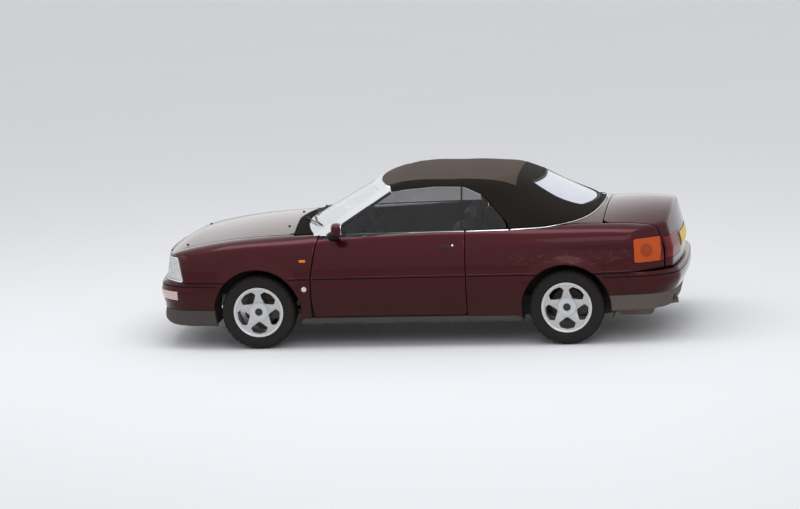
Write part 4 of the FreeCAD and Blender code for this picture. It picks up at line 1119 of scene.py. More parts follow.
def arch_run(axle, high_side, low_side):
    """the arch's edge from one height over the top to another, front to back or back to front"""
    heights = np.array([high_side, low_side])
    start, end = np.degrees(np.arcsin((heights - AXLE_HEIGHT) / ARCH_RADIUS))
    return circle_run((axle, AXLE_HEIGHT), ARCH_RADIUS, start, 180 - end, 70)


class CONVERTIBLE_OT_panels(bpy.types.Operator):
    """Builds the bonnet, wings, doors, quarter panels, decks and boot lid"""

    bl_idname = "convertible.panels"
    bl_label = "Painted panels"

    def execute(self, context):
        self.paint = lacquer("burgundy_lacquer", tuple(paint().body))
        self.smeared = lacquer("burgundy_smeared", tuple(paint().body), 0.5, (0.665, 0.800))
        # painted shade: the panels' inner faces get the body lacquer darkened to 0.7
        self.inside = lacquer("burgundy_inside_shaded", tinted(paint().body, 0.7), 0.2)
        self.step = form().mesh_step
        self.roll = form().edge_roll
        self.bonnet()
        self.wings()
        self.quarters()
        self.doors()
        self.decks()
        self.boot_lid()
        return {"FINISHED"}

    def add(self, name, body, data, nodes):
        return piece(name, body, data, [self.paint, self.paint, self.inside], nodes)

    def flank(self, loop):
        """the left panel inside an outline, with its right twin"""
        return both(panel(OUTER, FLANK, [loop], 0.012, (self.step, 0.010), self.roll))

    def bonnet(self):
        half = BONNET_REAR_HALF
        side_front = 2.105
        side_rear = BONNET_REAR + 0.5
        corner = bonnet_half(side_front)
        rear = rounded([(side_rear, -half + 0.029), (BONNET_REAR, -half, 0.06), (BONNET_REAR + 0.055, 0, 1.2),
                        (BONNET_REAR, half, 0.06), (side_rear, half - 0.029)], 24, closed=False)
        left = [(side_rear, bonnet_half(side_rear)), (side_front, corner)]
        front = [(corner - 0.02, LAMP_TOP - 0.001), (0.33, LAMP_TOP - 0.010), (0, LAMP_TOP - 0.010),
                 (-0.33, LAMP_TOP - 0.010), (-corner + 0.02, LAMP_TOP - 0.001)]
        right = [(side_front, -corner), (side_rear, -bonnet_half(side_rear))]
        loop = run(open_deck(rear), open_deck(left)[:-6], open_end(front, 1), open_deck(right)[6:])
        data = panel(OUTER, BONNET_FAN, [loop], 0.018, (self.step, self.step), self.roll)
        self.add("bonnet_panel", "bonnet", data, ["bonnet"])

    def wings(self):
        lamp_top = FLANK.flat(np.concatenate([on_end([(0.614, 0.757)], 1), on_side([(1.978, 0.762)])]))
        over_lamp = lamp_top[0] + (lamp_top[1] - lamp_top[0]) * np.linspace(0, 1, 16)[:, None] + (0, 0.0065)
        loop = run(
            open_side([(0.856, SILL), (0.856, 0.42), (0.853, 0.60), (0.809, 0.84), (0.794, 0.885)]),
            open_deck([(0.790, 0.735), (0.800, 0.692), (0.994, 0.692), (1.0, BONNET_REAR_HALF + PANEL_GAP),
                       (2.028, bonnet_half(2.028) + PANEL_GAP)]),
            strike(OUTER, *FLANK.rays(over_lamp)),
            open_side([(1.972, 0.762), (1.9265, BUMPER_TOP_FRONT + PANEL_GAP), (1.60, 0.566)]),
            on_side(arch_run(FRONT_AXLE, 0.566, SILL)),
            open_side([(0.950, SILL), (0.858, SILL)]),
        )
        self.add("wing_panels", "root", self.flank(loop), ["front_wings"])

    def quarters(self):
        split = 0.652
        loop = run(
            open_side([(DOOR_REAR - PANEL_GAP, SILL), (DOOR_REAR - PANEL_GAP, 0.945)]),
            open_deck([(DOOR_REAR - PANEL_GAP, 0.745), (-1.00, 0.745), (-1.16, 0.735), (-1.30, 0.700),
                       (LID_FRONT, 0.696), (-2.0, 0.661), (-2.045, 0.653)]),
            open_end([(split, 0.900), (split, 0.863), (split + 0.03, 0.863)], -1),
            open_side([(-1.98, 0.863), (-1.812, 0.863), (-1.818, 0.664), (-1.98, 0.659)]),
            open_end([(split + 0.03, 0.657), (split, 0.655), (split, BUMPER_TOP_REAR + PANEL_GAP),
                      (split + 0.03, BUMPER_TOP_REAR + PANEL_GAP)], -1),
            open_side([(-1.98, 0.598), (-1.50, 0.598)]),
            on_side([(2 * REAR_AXLE - x, z) for x, z in arch_run(REAR_AXLE, 0.598, SILL)]),
            open_side([(-0.900, SILL), (DOOR_REAR - PANEL_GAP - 0.002, SILL)]),
        )
        piece("quarter_panels_skin", "root", self.flank(loop), [self.smeared, self.smeared, self.inside],
              ["quarter_panels"])

    def doors(self):
        loop = patch([
            (0.830, DOOR_BOTTOM), (0.848, 0.42, 0.3), (0.845, 0.60, 0.3), (0.800, 0.84, 0.2), WAIST_FRONT,
            WAIST_REAR, (DOOR_REAR, DOOR_BOTTOM, 0.03),
        ], on_side)

        def inner(points):
            """the flat inner side, which leans in towards its top"""
            share = np.clip((points[:, 2] - 0.40) / 0.50, 0, 1)
            return np.column_stack([points[:, 0], 0.768 - 0.065 * share, points[:, 2]])

        trim = plastic("door_trim", (0.06, 0.055, 0.052), 0.6, 300, 0.25)
        data = panel(OUTER, FLANK, [loop], 0, (self.step, 0.010), self.roll, back=inner)
        on_doors("door_skin", data, [self.paint, self.paint, trim], "door_")

    def decks(self):
        front = [(-1.559, -LID_HALF), (-1.559, LID_HALF)]
        across = (-LID_HALF, -0.56, -0.35, 0.0, 0.35, 0.56, LID_HALF)
        curve = spline(across, [-1.17, -1.345, -1.475, -1.535, -1.475, -1.345, -1.17])
        back = [(float(curve(y)), y) for y in np.linspace(LID_HALF, -LID_HALF, 60)]
        loop = run(open_deck(front), on_deck(back))
        data = panel(OUTER, Straight((0, 0, 1), DECK_START), [loop], 0.012, (self.step, self.step), self.roll)
        self.add("deck_panel", "root", data, ["deck_cover"])

    def boot_lid(self):
        left = [(LID_TAPER_START, lid_half(LID_TAPER_START)), (-2.0, 0.655), (-2.04, 0.648)]
        right = [(x, -y) for x, y in left[::-1]]
        front = rounded([right[-1], (LID_FRONT, -LID_HALF, 0.07), (LID_FRONT, LID_HALF, 0.07), left[0]], 16,
                        closed=False)
        low = BUMPER_TOP_REAR + PANEL_GAP
        rear = [(0.646, 0.90), (0.640, low), (-0.640, low), (-0.646, 0.90)]
        loop = run(open_deck(front), open_deck(left), open_end(rear, -1), open_deck(right))
        holes = [patch(rectangle((side * 0.300, 0.672), (side * 0.636, 0.850), 0.01), on_end, way=-1)
                 for side in (1, -1)]
        data = panel(OUTER, LID_FAN, [loop] + holes, 0.018, (self.step, self.step), self.roll)
        self.add("boot_lid_panel", "boot_lid", data, ["boot_lid"])


# Bumpers, lip, valance and sills.
FRONT_LEVELS = (
    # height, middle, corner x, corner y, turn x, turn y, flank y
    (0.190, 2.140, 2.095, 0.565, 1.965, 0.725, 0.812),
    (0.255, 2.180, 2.136, 0.575, 2.003, 0.740, 0.826),
    (0.330, 2.174, 2.128, 0.577, 1.995, 0.741, 0.836),
    (0.480, 2.192, 2.156, 0.588, 2.018, 0.745, 0.856),
    (0.560, 2.172, 2.128, 0.582, 1.998, 0.730, 0.848),
)
REAR_LEVELS = (
    (0.270, 2.125, 2.080, 0.555, 1.960, 0.722, 0.812),
    (0.405, 2.165, 2.125, 0.572, 2.005, 0.730, 0.836),
    (0.500, 2.203, 2.170, 0.585, 2.045, 0.745, 0.857),
    (0.592, 2.190, 2.150, 0.575, 2.020, 0.735, 0.848),
)
LIP_PROFILE = ((0.19, 0.004), (0.205, -0.004), (0.232, -0.004), (0.262, 0.004), (0.330, 0.004))
VALANCE_PROFILE = ((0.27, 0.006), (0.395, 0.003), (0.405, 0.006))
SILL_SECTION = (
    # distance out from the flank, height
    (-0.05, 0.202), (-0.016, 0.203), (-0.003, 0.213), (0.001, 0.234), (0.0, 0.246), (-0.005, 0.254),
    (-0.014, 0.258), (-0.05, 0.258),
)
FRONT_COVER = Cover(FRONT_LEVELS, 1)
REAR_COVER = Cover(REAR_LEVELS, -1)
ENDS = ((FRONT_COVER, 1, FRONT_AXLE), (REAR_COVER, -1, REAR_AXLE))


def arch_end(axle):
    """how far from the middle of the car a wheel arch leaves a bumper, by height"""
    def at(height):
        return abs(axle) + math.sqrt(ARCH_RADIUS ** 2 - (height - AXLE_HEIGHT) ** 2)

    return at


def round_points(form_, way, height, turns):
    """points of a bumper at one height, by their turn from the car's length"""
    turns = np.asarray(turns, float)
    direction = np.stack([way * np.cos(turns), np.sin(turns), 0 * turns], 1)
    return strike(form_, np.tile([way * Cover.PIVOT, 0.0, height], (len(turns), 1)), direction)


def turn_at(form_, way, height, x=None, y=None):
    """the turn at which a bumper passes a place along or across the car"""
    spot = (on_side([(x * way, height)], form_) if y is None else on_end([(y, height)], way, form_))[0]
    return math.atan2(spot[1], spot[0] * way - Cover.PIVOT)


def cover_line(form_, way, height, end, count=150):
    """a level line round one end of the car, from its left arch to its right one"""
    turn = turn_at(form_, way, height, x=end(height))
    return round_points(form_, way, height, np.linspace(turn, -turn, count))


def cover_loop(form_, way, low, high, end):
    """the edge of a band round one end of the car"""
    flank = on_side([(way * end(z), z) for z in np.linspace(high, low, 24)], form_)
    upper, lower = (cover_line(form_, way, height, end) for height in (high, low))
    return run(upper, flank * (1, -1, 1), lower[::-1], flank[::-1])


def corner_outline(low, high, inner, end, count):
    """the outline of a lamp in the left corner of the front bumper"""
    rows = []
    for height, order in ((high, 1), (low, -1)):
        first, last = turn_at(FRONT_COVER, 1, height, y=inner), turn_at(FRONT_COVER, 1, height, x=end)
        rows.append(round_points(FRONT_COVER, 1, height, np.linspace(first, last, count))[::order])
    return run(*rows)


class CONVERTIBLE_OT_bumpers(bpy.types.Operator):
    """Builds the bumper covers, the front lip, the rear valance and the sill strips"""

    bl_idname = "convertible.bumpers"
    bl_label = "Bumpers and lower trim"

    def execute(self, context):
        coat = lacquer("bumper_lacquer", tuple(paint().body), 0.4)
        back = plastic("bumper_back", (0.03, 0.03, 0.03), 0.7)
        trim = plastic("lower_trim_plastic", tuple(paint().trim), 0.6, 500, 0.2, 0.35)
        # painted light: the rear valance's plastic is 1.6 times paler than the other trim; its pale spots are
        # weathering
        worn_and_lit_plastic = plastic("valance_plastic", tinted(paint().trim, 1.6), 0.7, 60, 0.3, 0.5)
        self.step = form().mesh_step
        corners = [(-0.42, 0.352, 0.015), (0.42, 0.352, 0.015), (0.44, 0.432, 0.015), (-0.44, 0.432, 0.015)]
        intake = patch(corners, on_end, way=1, form_=FRONT_COVER)
        lamp = corner_outline(0.408, 0.486, 0.560, 1.985, 30)
        front = cover_loop(FRONT_COVER, 1, 0.3305, 0.560, arch_end(FRONT_AXLE))
        loops = [front, intake, lamp, lamp * (1, -1, 1)]
        data = panel(FRONT_COVER, Round(1), loops, 0.028, (self.step, 0.011), 0.006)
        piece("front_bumper_cover", "root", data, [coat, coat, back], ["front_bumper"])
        rear = cover_loop(REAR_COVER, -1, 0.4055, 0.592, arch_end(REAR_AXLE))
        data = panel(REAR_COVER, Round(-1), [rear], 0.028, (self.step, 0.011), 0.006)
        piece("rear_bumper_cover", "root", data, [coat, coat, back], ["rear_bumper"])
        self.shelves(coat)
        self.screens(back)
        self.lower(trim, back, worn_and_lit_plastic)
        # the groove finish is near-black: painted shade of the grooves
        self.grooves([plastic("groove_painted_shade", (0.006, 0.005, 0.005), 0.7, gloss=0.05), coat])
        return {"FINISHED"}

    def shelves(self, coat):
        """the flat tops of the bumpers, from their covers in to the body"""
        parts = []
        for (form_, way, axle), height in zip(ENDS, (0.5565, 0.5885)):
            outer = cover_line(form_, way, height, arch_end(axle), 120)[4:-4]
            pivot = np.array([way * Cover.PIVOT, 0.0, height])
            reach = np.linalg.norm(outer - pivot, axis=1)
            ways = (outer - pivot) / reach[:, None]
            body = np.linalg.norm(strike(OUTER, np.tile(pivot, (len(ways), 1)), ways) - pivot, axis=1)
            inner = np.minimum(reach - 0.030, body - 0.035)
            rings = []
            for k, out in enumerate(ways):
                near, far = pivot + out * inner[k], pivot + out * (reach[k] - 0.022)
                rings.append([far, near, near - (0, 0, 0.003), far - (0, 0, 0.003)])
            parts.append(lofted(rings))
        piece("bumper_shelves", "root", merged(*parts), [coat])

    def screens(self, black):
        """the slats behind the front intake, and black flaps of painted shade ahead of the rear wheels"""
        parts = [block((2.040, -0.44, 0.335), (2.046, 0.44, 0.450))]
        for z in np.linspace(0.350, 0.432, 6):
            parts.append(block((2.046, -0.44, z), (2.056, 0.44, z + 0.004)))
        # painted shade: black sheets ahead of the rear wheels stop the floor showing through under the car
        for side in (1, -1):
            parts.append(block((-0.960, side * 0.605, 0.215), (-0.868, side * 0.609, 0.380)))
        piece("intake_slats_and_shade_flaps", "root", merged(*parts), [black])

    def lower(self, trim, back, worn_and_lit_plastic):
        lip_form = Cover(FRONT_LEVELS, 1, LIP_PROFILE)
        lip = cover_loop(lip_form, 1, 0.193, 0.328, arch_end(FRONT_AXLE))
        parts = [panel(lip_form, Round(1), [lip], 0.024, (self.step, 0.009), 0.003)]
        skirt = Cover(REAR_LEVELS, -1, VALANCE_PROFILE)
        valance = cover_loop(skirt, -1, 0.273, 0.4035, arch_end(REAR_AXLE))
        cut = dense([(0.388, 0.262), (0.388, 0.336), (0.492, 0.336), (0.492, 0.262)], closed=False)
        cut = on_end(cut, -1, skirt)
        low = valance[:, 2] < 0.30
        near = (valance[:, 1] > 0.385) & (valance[:, 1] < 0.495) & (valance[:, 0] < -1.9) & low
        first = int(np.argmax(near))
        last = len(near) - 1 - int(np.argmax(near[::-1]))
        notch = cut if valance[first, 1] < valance[last, 1] else cut[::-1]
        notch[:, 2] = np.maximum(notch[:, 2], 0.273)
        loop = run(valance[:first], notch, valance[last + 1:])
        rear = panel(skirt, Round(-1), [loop], 0.024, (self.step, 0.011), 0.003)
        parts.append((rear[0], rear[1], [2 if k == 2 else 3 for k in rear[2]]))
        parts.append(both(self.sill()))
        finishes = [trim, trim, back, worn_and_lit_plastic]
        piece("lower_trim_covers", "root", merged(*parts), finishes, ["lower_trim"])

    def sill(self):
        """the left sill strip, a rail with a bevelled top edge"""
        rings = []
        for x in np.linspace(0.945, -0.885, 60):
            out = float(on_side([(x, 0.250)])[0, 1]) + 0.002
            near_end = min(1.0, (0.948 - x) / 0.03, (x + 0.888) / 0.03)
            out -= 0.012 * (1 - near_end)
            rings.append([(x, out + away, height) for away, height in SILL_SECTION])
        return lofted(rings)

    def grooves(self, finishes):
        """the dark lines in the bumpers and along the flanks, black strips of painted groove shade, each
        under a ridge in body paint
        """
        parts = []
        for (form_, way, axle), height in zip(ENDS, (0.527, 0.556)):
            parts.append(self.moulding(cover_line(form_, way, height, arch_end(axle), 120)[2:-2], form_))
        piece("bumper_grooves", "root", merged(*parts), finishes)
        for name, start, end in (("wing_groove", 1.040, 0.862), ("quarter_groove", -0.448, -1.018),
                                 ("quarter_rear_groove", -1.487, -1.79)):
            piece(name, "root", both(self.flank_line(start, end, 0.584)), finishes)
        on_doors("door_groove", self.flank_line(0.836, -0.428, 0.584), finishes)

    def flank_line(self, start, end, height):
        line = on_side([(x, height + 0.008 * (1 - (x + 1.0) / 2.0)) for x in np.linspace(start, end, 40)])
        return self.moulding(line, OUTER)

    def moulding(self, line, form_):
        """a black strip of painted groove shade with a ridge in body paint above it"""
        # painted shade: the black strip stands for the shade in the groove
        dark = strip(form_, line, strap(0.010, 0.0014))
        ridge = strip(form_, line + (0, 0, 0.0105), strap(0.011, 0.0040))
        return merged(dark, marked(ridge, 1))


# Lamps.
def lamp_outline(corners, form_=OUTER):
    """an outline on the flank, straight between its corners when laid flat; a corner is (point, radius)"""
    flat = FLANK.flat(np.array([spot for spot, _ in corners], float))
    shape = dense(rounded([(u, v, radius) for (u, v), (_, radius) in zip(flat, corners)], 6), 0.010)
    return run(strike(form_, *FLANK.rays(shape)))


def lens(name, colour, rough=0.08, shown=1.0, rings=None, ribs=0.0, dark=0.55, gloss=1.0):
    """moulded lens: ribs or rings pressed into clear or tinted plastic"""
    f = Finish(name)
    worn = f.noise(18, 3, 0.6)
    height = f.part_of_place(2)
    if rings:
        height = f.node("ShaderNodeVectorMath", {"operation": "DISTANCE"}, f.place(), rings, out=1)
    wave = f.math("SINE", height * 420.0)
    shade = f.between(wave, -0.2, 0.8)
    base = f.mix(shade, colour, tinted(colour, dark))
    if rings:
        bowl = 1 - f.span(height, 0.070, 0.084)
        base = f.mix(bowl * 0.6, base, tinted(colour, dark * 0.8))
    return f.surface(
        Base_Color=f.mix(worn * 0.05, base, (0.35, 0.32, 0.30)),
        Roughness=f.between(worn, rough, rough + 0.1),
        Coat_Weight=f.between(worn, gloss, gloss * 0.7), Coat_Roughness=0.03, Coat_IOR=1.22,
        Specular_IOR_Level=0.15,
        Alpha=f.between(worn, shown, min(1.0, shown + 0.08)),
        Normal=f.bump(wave, 0.25 + ribs, 0.0006),
    )


class CONVERTIBLE_OT_lamps(bpy.types.Operator):
    """Builds the head, corner and tail lamps with their reflectors"""

    bl_idname = "convertible.lamps"
    bl_label = "Lamps"

    def execute(self, context):
        self.silver = bright("reflector_silver", (0.88, 0.89, 0.90), 0.16)
        self.clear = lens("clear_lens_fluted", (0.80, 0.80, 0.79), 0.06, 0.30, dark=0.8)
        self.dark = plastic("lamp_housing", (0.02, 0.02, 0.02), 0.5)
        self.head()
        self.corner()
        self.tail()
        return {"FINISHED"}

    def head(self):
        side = on_side([(1.9325, 0.571), (1.9780, 0.762)])
        end = on_end([(0.62, 0.757), (0.331, 0.7505), (0.331, 0.571), (0.62, 0.571)], 1)
        corners = list(zip([*side, *end], (0.008, 0.012, 0, 0.006, 0.006, 0)))
        loop = lamp_outline(corners)
        glass = panel(OUTER, FLANK, [loop], 0.004, (0.014, 0.010), 0.002)
        deep = Body(inset=0.012)
        shell = panel(deep, FLANK, [lamp_outline(corners, deep)], 0.034, (0.014, 0.010), 0.004)
        rim = strip(OUTER, loop, strap(0.007, 0.0018), closed=True)
        data = merged(glass, shifted(shell, 3), marked(rim, 6))
        finishes = [self.clear, self.clear, self.clear, self.silver, self.silver, self.dark, self.silver]
        piece("head_lamp_units", "root", both(data), finishes, ["head_lamps"])

    def corner(self):
        outline = corner_outline(0.4100, 0.4840, 0.562, 1.987, 26)
        cover = panel(FRONT_COVER, Round(1), [outline], 0.026, (0.012, 0.009), 0.004)
        frost = lens("corner_lens", (0.66, 0.50, 0.46), 0.10, ribs=0.2, dark=0.8)
        piece("corner_lamps", "root", both(cover), [frost, frost, self.dark], ["side_lamps"])

    def tail(self):
        amber = lens("amber_lens", (0.60, 0.080, 0.003), 0.08, rings=(-1.945, 0.80, 0.765), ribs=0.4,
                     dark=0.35, gloss=0.5)
        red = lens("red_lens", (0.190, 0.006, 0.004), 0.08, rings=(-2.07, 0.66, 0.765), ribs=0.2, gloss=0.35)
        side = on_side([(-1.8140, 0.8600), (-1.8195, 0.6670)])
        end = on_end([(0.650, 0.6590), (0.650, 0.8600)], -1)
        low, high = on_side([(-2.020, 0.660), (-2.020, 0.860)])
        gap = np.array([-0.0025, 0, 0])
        loops = (
            [(side[0], 0.014), (side[1], 0.014), (low, 0.002), (high, 0.002)],
            [(high + gap, 0.002), (low + gap, 0.002), (end[0], 0.004), (end[1], 0.004)],
        )
        first, second = (
            panel(OUTER, FLANK, [lamp_outline(loop)], 0.045, (0.012, 0.010), 0.003) for loop in loops)
        data = merged(first, shifted(second, 3))
        finishes = [amber, amber, self.dark, red, red, self.dark]
        piece("tail_lamp_units", "root", both(data), finishes, ["tail_lamps"])
        lid = patch(rectangle((0.303, 0.674), (0.633, 0.848), 0.008), on_end, way=-1)
        cover = panel(OUTER, LID_FAN, [lid], 0.040, (0.012, 0.012), 0.003)
        piece("lid_lamp_units", "boot_lid", both(cover), [red, red, self.dark], ["lid_lamps"])


# The soft top.
SCREEN_TAN = math.tan(math.radians(29))
SCREEN_FOOT = (0.985, 0.946)
SCREEN_BOW = 1.4
ROOF = Roof()
ROOF_AXIS = 1.0
TOP_HALF = 0.530
THREADS = 2600.0

# How far behind the windscreen the cloth's own form starts, and the rows of its drawn-down front.
HEADER_SETBACK = 0.0865
HEADER_ROWS = (
    0.004, 0.010, 0.020, 0.032, 0.045, 0.058, 0.070, HEADER_SETBACK, 0.096, 0.106, 0.118, 0.132, 0.148,
)
FRAME_OUTLINE = ((0.697, 1.001), (0.578, 1.306, 0.025), (-0.578, 1.306, 0.025), (-0.697, 1.001))


def screen_x(y, z):
    """how far forward the windscreen's outer face is"""
    sag = SCREEN_BOW - np.sqrt(SCREEN_BOW ** 2 - y ** 2)
    return SCREEN_FOOT[0] + (SCREEN_FOOT[1] - z) / SCREEN_TAN - sag


def behind_screen(reach, angles, setback):
    """points of a sheet behind the windscreen, by their turn about the roof's axis"""
    y, z = reach * np.cos(angles), ROOF_AXIS + reach * np.sin(angles)
    return np.stack([screen_x(y, z) - setback, y, z], 1)


def header_edge(form_, setback, first, count):
    """where a form meets a sheet that lies behind the windscreen"""
    angles = np.radians(np.linspace(first, 180 - first, count))
    low, high = 0 * angles, 0 * angles + 0.9
    for _ in range(30):
        middle = (low + high) / 2
        points = behind_screen(middle, angles, setback)
        inside = form_(points) < 0
        low, high = np.where(inside, middle, low), np.where(inside, high, middle)
    return points


def roof_foot(form_, first, count):
    """where the soft top's walls come down on the decks, from left to right round the back"""
    turns = np.radians(np.linspace(first, -first, count))
    height = 0 * turns + 1.0
    for _ in range(14):
        reach = two_way(form_.table, form_.heights, form_.angles, height, np.abs(turns)) - form_.inset
        spots = np.stack([-form_.PIVOT - reach * np.cos(turns), reach * np.sin(turns)], 1)
        height = height * 0.4 + (on_deck(spots)[:, 2] + 0.003) * 0.6
    return np.column_stack([spots, height])


SIDE_WINDOW = (
    (-0.794, 0.966), (-0.788, 0.995, 0.03), (-0.762, 1.030, 0.09), (-0.590, 1.215, 0.12),
    (-0.420, 1.290, 0.16), (-0.180, 1.296, 0.30), (0.060, 1.278, 0.50), (0.176, 1.2625),
)
REAR_WINDOW = ((-0.390, 1.283, 0.05), (0.390, 1.283, 0.05), (0.478, 1.086, 0.06), (-0.478, 1.086, 0.06))


def roof_back(rows):
    """points (y, z) moved back to the soft top's rear wall"""
    y, z = np.array(rows, float).T
    return cast(ROOF, (-0.70, y, z), (-1, 0, 0))


def roof_cloth(name, colour):
    """twill cloth with dust in the weave, its top panel paler with painted sky light and its sides darker
    with painted shade
    """
    f = Finish(name)
    x, y, z = (f.part_of_place(k) for k in range(3))
    across = f.math("ABSOLUTE", y)
    top = f.span(x, -0.850, -0.835) * (1 - f.span(across, 0.527, 0.533)) * f.span(z, 1.24, 1.26)
    weave = f.math("SINE", (x + y) * THREADS) * f.math("SINE", (x - y + z * 1.5) * THREADS)
    worn = f.noise(5, 5, 0.65)
    dust = f.noise(42, 3, 0.6)
    # painted shade: the sides get 0.2 to 0.4 of the cloth colour, varied in clouds
    side = f.mix(worn * 0.5, tinted(colour, 0.20), tinted(colour, 0.40))
    # painted sky light: the top panel gets 1.5 to 2.3 times the cloth colour, varied in clouds
    painted_lit_top = f.mix(worn * 0.7, tinted(colour, 1.5), tinted(colour, 2.3))
    base = f.mix(top, side, painted_lit_top)
    base = f.mix(f.between(dust, 0.0, 0.05), base, (0.12, 0.10, 0.085))
    return f.surface(
        Base_Color=f.mix(f.between(weave, 0.0, 0.25), base, tinted(colour, 0.3)),
        Roughness=f.between(worn, 0.82, 0.95),
        Sheen_Weight=0.04, Sheen_Roughness=0.5, Specular_IOR_Level=0.08,
        Normal=f.bump(weave + dust * 0.8, 0.35, 0.0007),
    )


class CONVERTIBLE_OT_soft_top(bpy.types.Operator):
    """Builds the soft top as one stretched sheet with its seams and the rear window's frame"""

    bl_idname = "convertible.soft_top"
    bl_label = "Soft top"

    def execute(self, context):
        cloth = roof_cloth("roof_twill", tuple(paint().cloth))
        lining = plastic("roof_lining", (0.10, 0.095, 0.09), 0.9, 250, 0.3)
        black = plastic("roof_rubber", (0.014, 0.014, 0.014), 0.5)
        left = on_side(dense(rounded(SIDE_WINDOW, 10, closed=False), closed=False), ROOF)
        first = math.degrees(math.atan2(left[-1, 2] - ROOF_AXIS, left[-1, 1]))
        front = header_edge(ROOF, HEADER_SETBACK, first + 0.6, 90)
        right = left[::-1] * (1, -1, 1)
        start = math.degrees(math.atan2(left[0, 1], -left[0, 0] - ROOF.PIVOT))
        foot = roof_foot(ROOF, start, 170)[::-1]
        loop = run(left, front, right, foot)
        window = patch(REAR_WINDOW, roof_back, 10, 0.010)
        data = panel(ROOF, Dome(), [loop, window], 0.005, (0.017, 0.017), 0.002)
        sheet = piece("soft_top_cloth", "root", data, [cloth, cloth, lining], ["soft_top"], 50)
        seams = self.seams(cloth)
        self.header(cloth, first)
        seal = strip(ROOF, window, strap(0.016, 0.003, 0.006), closed=True)
        piece("rear_window_seal", "root", seal, [black])
        self.bows()
        return {"FINISHED"}

    def header(self, cloth, first):
        """the front of the cloth, drawn forward and down over the windscreen's frame"""
        outline = dense(rounded(FRAME_OUTLINE, closed=False), 0.01, closed=False) - (0, ROOF_AXIS)
        count = 120
        rows = []
        for setback in HEADER_ROWS:
            start = first + 0.3 + 6.0 * max(0.0, 1 - setback / HEADER_SETBACK)
            angles = np.radians(np.linspace(start, 180 - start, count))
            frame_reach = around(outline, angles) + 0.0025
            spots = header_edge(ROOF, setback, start, count)
            roof_reach = np.hypot(spots[:, 1], spots[:, 2] - ROOF_AXIS) + 0.0020
            if setback <= HEADER_SETBACK:
                reach = frame_reach + np.maximum(roof_reach - frame_reach, 0) * ramp(setback / HEADER_SETBACK)
            else:
                share = 1 - ramp((setback - HEADER_SETBACK) / 0.06)
                reach = roof_reach + np.maximum(frame_reach - roof_reach, 0) * share
            rows.append([behind_screen(side, angles, setback) for side in (reach, reach - 0.0015)])
        rings = [[top[k] for top, _ in rows] + [low[k] for _, low in rows[::-1]] for k in range(count)]
        piece("header_cloth", "root", lofted(rings), [cloth], (), 40)

    def seams(self, cloth):
        """doubled cloth along the edges of the top panel and down to the rear window"""
        rows = [[(x, side * TOP_HALF) for x in np.linspace(0.100, -0.835, 80)] for side in (1, -1)]
        rows.append([(-0.843, y) for y in np.linspace(TOP_HALF, -TOP_HALF, 90)])
        parts = [strip(ROOF, on_deck(row, ROOF), strap(0.012, 0.0022, 0.0005)) for row in rows]
        foot = roof_foot(Roof(inset=-0.002), 66, 150) + (0, 0, 0.012)
        parts.append(strip(ROOF, foot, strap(0.010, 0.0025, 0.0005)))
        return piece("soft_top_seams", "root", merged(*parts), [cloth])

    def bows(self):
        """the hood frame's cross bows under the cloth"""
        steel = plastic("hood_bow_black", (0.02, 0.02, 0.02), 0.4)
        inner = Roof(inset=0.0125)
        parts = []
        for x in Roof.BOWS[1:3] + (-0.78,):
            line = on_deck([(x, y) for y in np.linspace(TOP_HALF, -TOP_HALF, 60)], inner)
            parts.append(strip(inner, line, tube_section(0.007)))
        piece("hood_bows", "root", merged(*parts), [steel])


# Wheels.
SPOKES = 5
WHEEL_WINDOW = (
    # radius, distance from the opening's middle line, rounding
    (0.086, -0.008, 0.004), (0.148, -0.070, 0.012), (0.1755, -0.055, 0.013), (0.1812, 0.0, 0.06),
    (0.1755, 0.055, 0.013), (0.148, 0.070, 0.012), (0.086, 0.008, 0.004),
)


class WheelFace:
    """The outer face of the five-spoke wheel: how far out it stands, by radius and turn."""

    def __call__(self, points):
        r = np.hypot(points[..., 0], points[..., 2])
        turn = np.arctan2(points[..., 2], points[..., 0])
        spoke = np.cos(SPOKES * (turn - math.pi / 2))
        radii = (0.0, 0.060, 0.075, 0.120, 0.165, 0.186)
        rise = np.interp(r, radii, (0.0645, 0.0645, 0.066, 0.0725, 0.077, 0.081))
        crown = 0.006 * np.clip(spoke, -0.2, 1) * np.interp(r, (0.07, 0.10, 0.15, 0.18), (0, 1, 1, 0.1))
        return points[..., 1] - rise - crown


def wheel_windows():
    """the five openings between the spokes, as outlines in x and z"""
    loops = []
    for k in range(SPOKES):
        middle = math.radians(90) + 2 * math.pi / SPOKES * (k + 0.5)
        c, s = math.cos(middle), math.sin(middle)
        corners = []
        for radius, offset, soft in WHEEL_WINDOW:
            along = math.sqrt(radius ** 2 - offset ** 2)
            corners.append((along * c - offset * s, along * s + offset * c, soft))
        loops.append(dense(rounded(corners, 6), 0.006))
    return loops


TYRE_HALF = (
    # radius, distance out from the tyre's middle
    (0.196, 0.080), (0.208, 0.0815), (0.214, 0.0925), (0.222, 0.0965), (0.236, 0.0998), (0.252, 0.1020),
    (0.262, 0.1025), (0.275, 0.1008), (0.287, 0.0970), (0.296, 0.0915), (0.3015, 0.0855), (0.3050, 0.0785),
    (0.3065, 0.0700), (0.3072, 0.0620), (0.3005, 0.0610), (0.3005, 0.0540), (0.3076, 0.0530),
    (0.3079, 0.0420), (0.3080, 0.0300), (0.3010, 0.0290), (0.3010, 0.0210), (0.3080, 0.0200),
    (0.3080, 0.0100),
)
TYRE_INSIDE = (
    (0.290, -0.072), (0.290, 0.0), (0.290, 0.072), (0.262, 0.0865), (0.217, 0.0805), (0.196, 0.0560),
)
RIM_SECTION = (
    (0.207, 0.088), (0.2072, 0.0805), (0.1927, 0.0803), (0.1927, -0.0803), (0.207, -0.0803),
    (0.207, -0.088), (0.186, -0.088), (0.183, -0.060), (0.183, 0.050), (0.1845, 0.078),
    (0.188, 0.084), (0.196, 0.0855), (0.2015, 0.0888),
)
